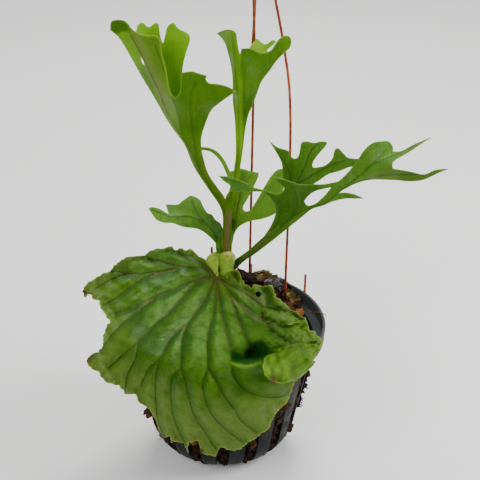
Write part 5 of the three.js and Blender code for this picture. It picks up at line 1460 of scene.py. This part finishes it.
def make_medium():
    heap = Heap(7)
    add_core(heap)
    add_top_chips(heap)
    add_slot_chips(heap)
    add_fibres(heap)
    for *centre, size, kind in TUFTS:
        heap.tuft(np.array(centre), size, kind)
    heap.fibre(*RIM_STRAND, radius=0.35, kind=MOSS, sway=3)
    add_twigs(heap)
    add_ring_chips(heap)
    # The dark chip is painted shade under the shield's second hole.
    heap.chip(*PAINTED_SHADE_CHIP, cuts=4, shade=0)
    finish_piece(heap.object("growing_medium_chips", sharp=60), "growing_medium", medium_look())


make_medium()


# Hanger
WIRE_STEP = 0.8
WINDING_TURNS = 8.5


def polar(degrees_from_back, radius, height):
    return around(math.radians(90 - degrees_from_back), radius, height)


def leg_path(inside, outside, stub, knot, via):
    """From the tie down inside the pot, out through a slot and up past the rim."""
    top = KNOT + [*knot, 5 - 0.5 * KNOT_HEIGHT]
    foot = polar(inside, LEG_RADIUS, LEG_CROSSING)
    between = []
    for across, up, share in via:
        wanted = top[1] + (foot[1] - top[1]) * share
        flat = np.array([[across, up]], float)
        spot = place(flat, [0])[0]
        ahead = place(flat, [1])[0] - spot
        between.append(spot + ahead * (wanted - spot[1]) / ahead[1])
    upper = smooth_line([top, top - [0, 0, 8], *between, foot + [0, 0, 24], foot + [0, 0, 4]], 2.0)
    lower = [foot + [0, 0, 4]]
    for out, rise in ((0.3, 1), (1.6, 0), (6, 0)):
        lower.append(polar(inside, LEG_RADIUS + out, LEG_CROSSING + rise))
    for out, rise in ((-2, 0), (-0.5, 0.9), (0, 3), (0.6, RIM_HEIGHT + stub - LEG_CROSSING)):
        lower.append(polar(outside, HOOK_OUT_RADIUS + out, LEG_CROSSING + rise))
    return np.vstack([upper[:-1], smooth_line(lower, 0.5)])


def add_tie(build):
    """The tie: a short core with a wire wound round it."""
    half = 0.5 * KNOT_HEIGHT
    points, faces = turn_profile([(0, -half), (2.6, -half), (2.6, half), (0, half)], 24)
    build.add(points + KNOT, faces)
    winding = []
    for t in np.linspace(0, 1, 400):
        r = KNOT_RADIUS - 1.0 - 1.2 * smoothstep(t, 0.9, 1.0)
        winding.append(KNOT + around(FULL_TURN * WINDING_TURNS * t, r, 1 - half + t * (KNOT_HEIGHT - 2)))
    add_wire(build, even(np.array(winding), WIRE_STEP), WIRE_RADIUS, sides=10)


def add_hook(build):
    """The open hook on its stem."""
    stem = [KNOT + [x, 0, z] for x, z in ((0, 4), (0, 20), (-1.5, 25), (-6.5, 32), (-10.5, 38.5))]
    arc = []
    for angle in np.radians(range(190, -41, -5)):
        arc.append(KNOT + [HOOK_RADIUS * math.cos(angle), 0, 46 + HOOK_RADIUS * math.sin(angle)])
    add_wire(build, even(smooth_line(stem + arc, 1.0), WIRE_STEP), HOOK_WIRE_RADIUS, sides=16)


def make_hanger():
    rust = wire_look()
    for name, leg in LEGS.items():
        build = Build()
        add_wire(build, even(leg_path(**leg), WIRE_STEP), WIRE_RADIUS, sides=14)
        finish_piece(build.object(f"wire_leg_{name}"), f"hanger_leg_{name}", rust)
    build = Build()
    add_tie(build)
    add_hook(build)
    finish_piece(build.object("wire_hook"), "hanger_hook", rust)


make_hanger()


# Crown
BUD_ROWS = 60
BUD_COLUMNS = 168
BUD_PLEATS = 12


def add_bud(build):
    """The pleated body of the crown, with a mark that says how deep a pleat lies; the look paints shade
    into the pleats by it.
    """
    polar_angle, angle = np.meshgrid(np.linspace(0, math.pi, BUD_ROWS + 1),
                                     np.linspace(0, FULL_TURN, BUD_COLUMNS, endpoint=False), indexing="ij")
    girth = np.sin(polar_angle)
    height = np.cos(polar_angle)
    twist = BUD_PLEATS * (angle + 0.16 * height) + 0.9 * np.sin(3 * height + angle)
    pleat = girth * (1 + girth * (0.045 * np.cos(twist) + 0.03 * np.sin(2 * angle + 4 * height)))
    shape = np.stack([pleat * np.cos(angle), pleat * np.sin(angle), height], axis=2)
    points = shape.reshape(-1, 3) * CROWN_RADII + CROWN_CENTRE
    faces = [(a, d, c, b) for a, b, c, d in ring_faces(BUD_ROWS + 1, BUD_COLUMNS)]
    crease = (0.5 - 0.5 * np.cos(twist)) * girth
    build.add(points, faces, height=points[:, 2], crease=crease.reshape(-1))


def make_crown():
    build = Build()
    add_bud(build)
    for stations, ups, heights in ((SCALE, (-26, -14), (134, 130)), (NEAR_FOLD, (-22, -12), (125, 136))):
        line = smooth_line(rows_of(stations, 5), 0.5)
        add_rod(build, line, sides=32, height=np.interp(line[:, 1], ups, heights))
    add_rod(build, smooth_line(rows_of(CURL, 5), 0.7), cream=1.0, height=140)
    for points in build.points:
        points += 0.6 * np.stack([soft_noise(points, 4.5, seed) for seed in (71, 72, 73)], axis=1)
    finish_piece(build.object("crown_bud"), "crown", crown_look())


make_crown()


# Stage, light and camera
FLOOR_HALF = 6.0
FLOOR_DROP = 0.0006
FLOOR_WHITE = (0.95, 0.95, 0.945, 1)
SKY_STRENGTH = 0.46


def make_stage():
    mesh = bpy.data.meshes.new("floor")
    corners = [(x * FLOOR_HALF, y * FLOOR_HALF, 0) for x, y in ((-1, -1), (1, -1), (1, 1), (-1, 1))]
    mesh.from_pydata(corners, [], [(0, 1, 2, 3)])
    floor = add_to_scene("floor", mesh)
    floor.location.z = -FLOOR_DROP
    look = Look("floor", 0.8, 0.2)
    look.inputs["Base Color"].default_value = FLOOR_WHITE
    mesh.materials.append(look.material)
    world = bpy.data.worlds.new("studio")
    world.use_nodes = True
    sky = world.node_tree.nodes["Background"].inputs
    sky["Color"].default_value = (1, 1, 1, 1)
    sky["Strength"].default_value = SKY_STRENGTH
    bpy.context.scene.world = world


def add_light(name, location, target, size, power, color=(1, 1, 1)):
    data = bpy.data.lights.new(name, "AREA")
    data.shape = "RECTANGLE"
    data.size, data.size_y = size
    data.energy = power
    data.color = color
    light = add_to_scene(name, data)
    light.location = location
    light.rotation_mode = "QUATERNION"
    light.rotation_quaternion = (Vector(target) - Vector(location)).to_track_quat("-Z", "Y")


def make_camera():
    data = bpy.data.cameras.new("camera")
    data.lens = LENS
    data.sensor_width = 36
    data.clip_start = 0.02
    data.clip_end = 50
    camera = add_to_scene("camera", data)
    axes = np.column_stack([ACROSS, UPWARD, -SIGHT, EYE * MM])
    camera.matrix_world = Matrix([*axes.tolist(), (0, 0, 0, 1)])
    bpy.context.scene.camera = camera


make_stage()
add_light("overhead", (0.1, 0.75, 1.15), (0, 0, 0.15), (0.6, 0.4), 15, (1.0, 0.99, 0.97))
add_light("side", (0.95, -0.15, 0.75), (0, 0, 0.12), (0.4, 0.6), 9)
add_light("front", (-0.6, -1.0, 0.95), (0, 0, 0.15), (0.7, 0.7), 11, (0.99, 0.99, 1.0))
make_camera()
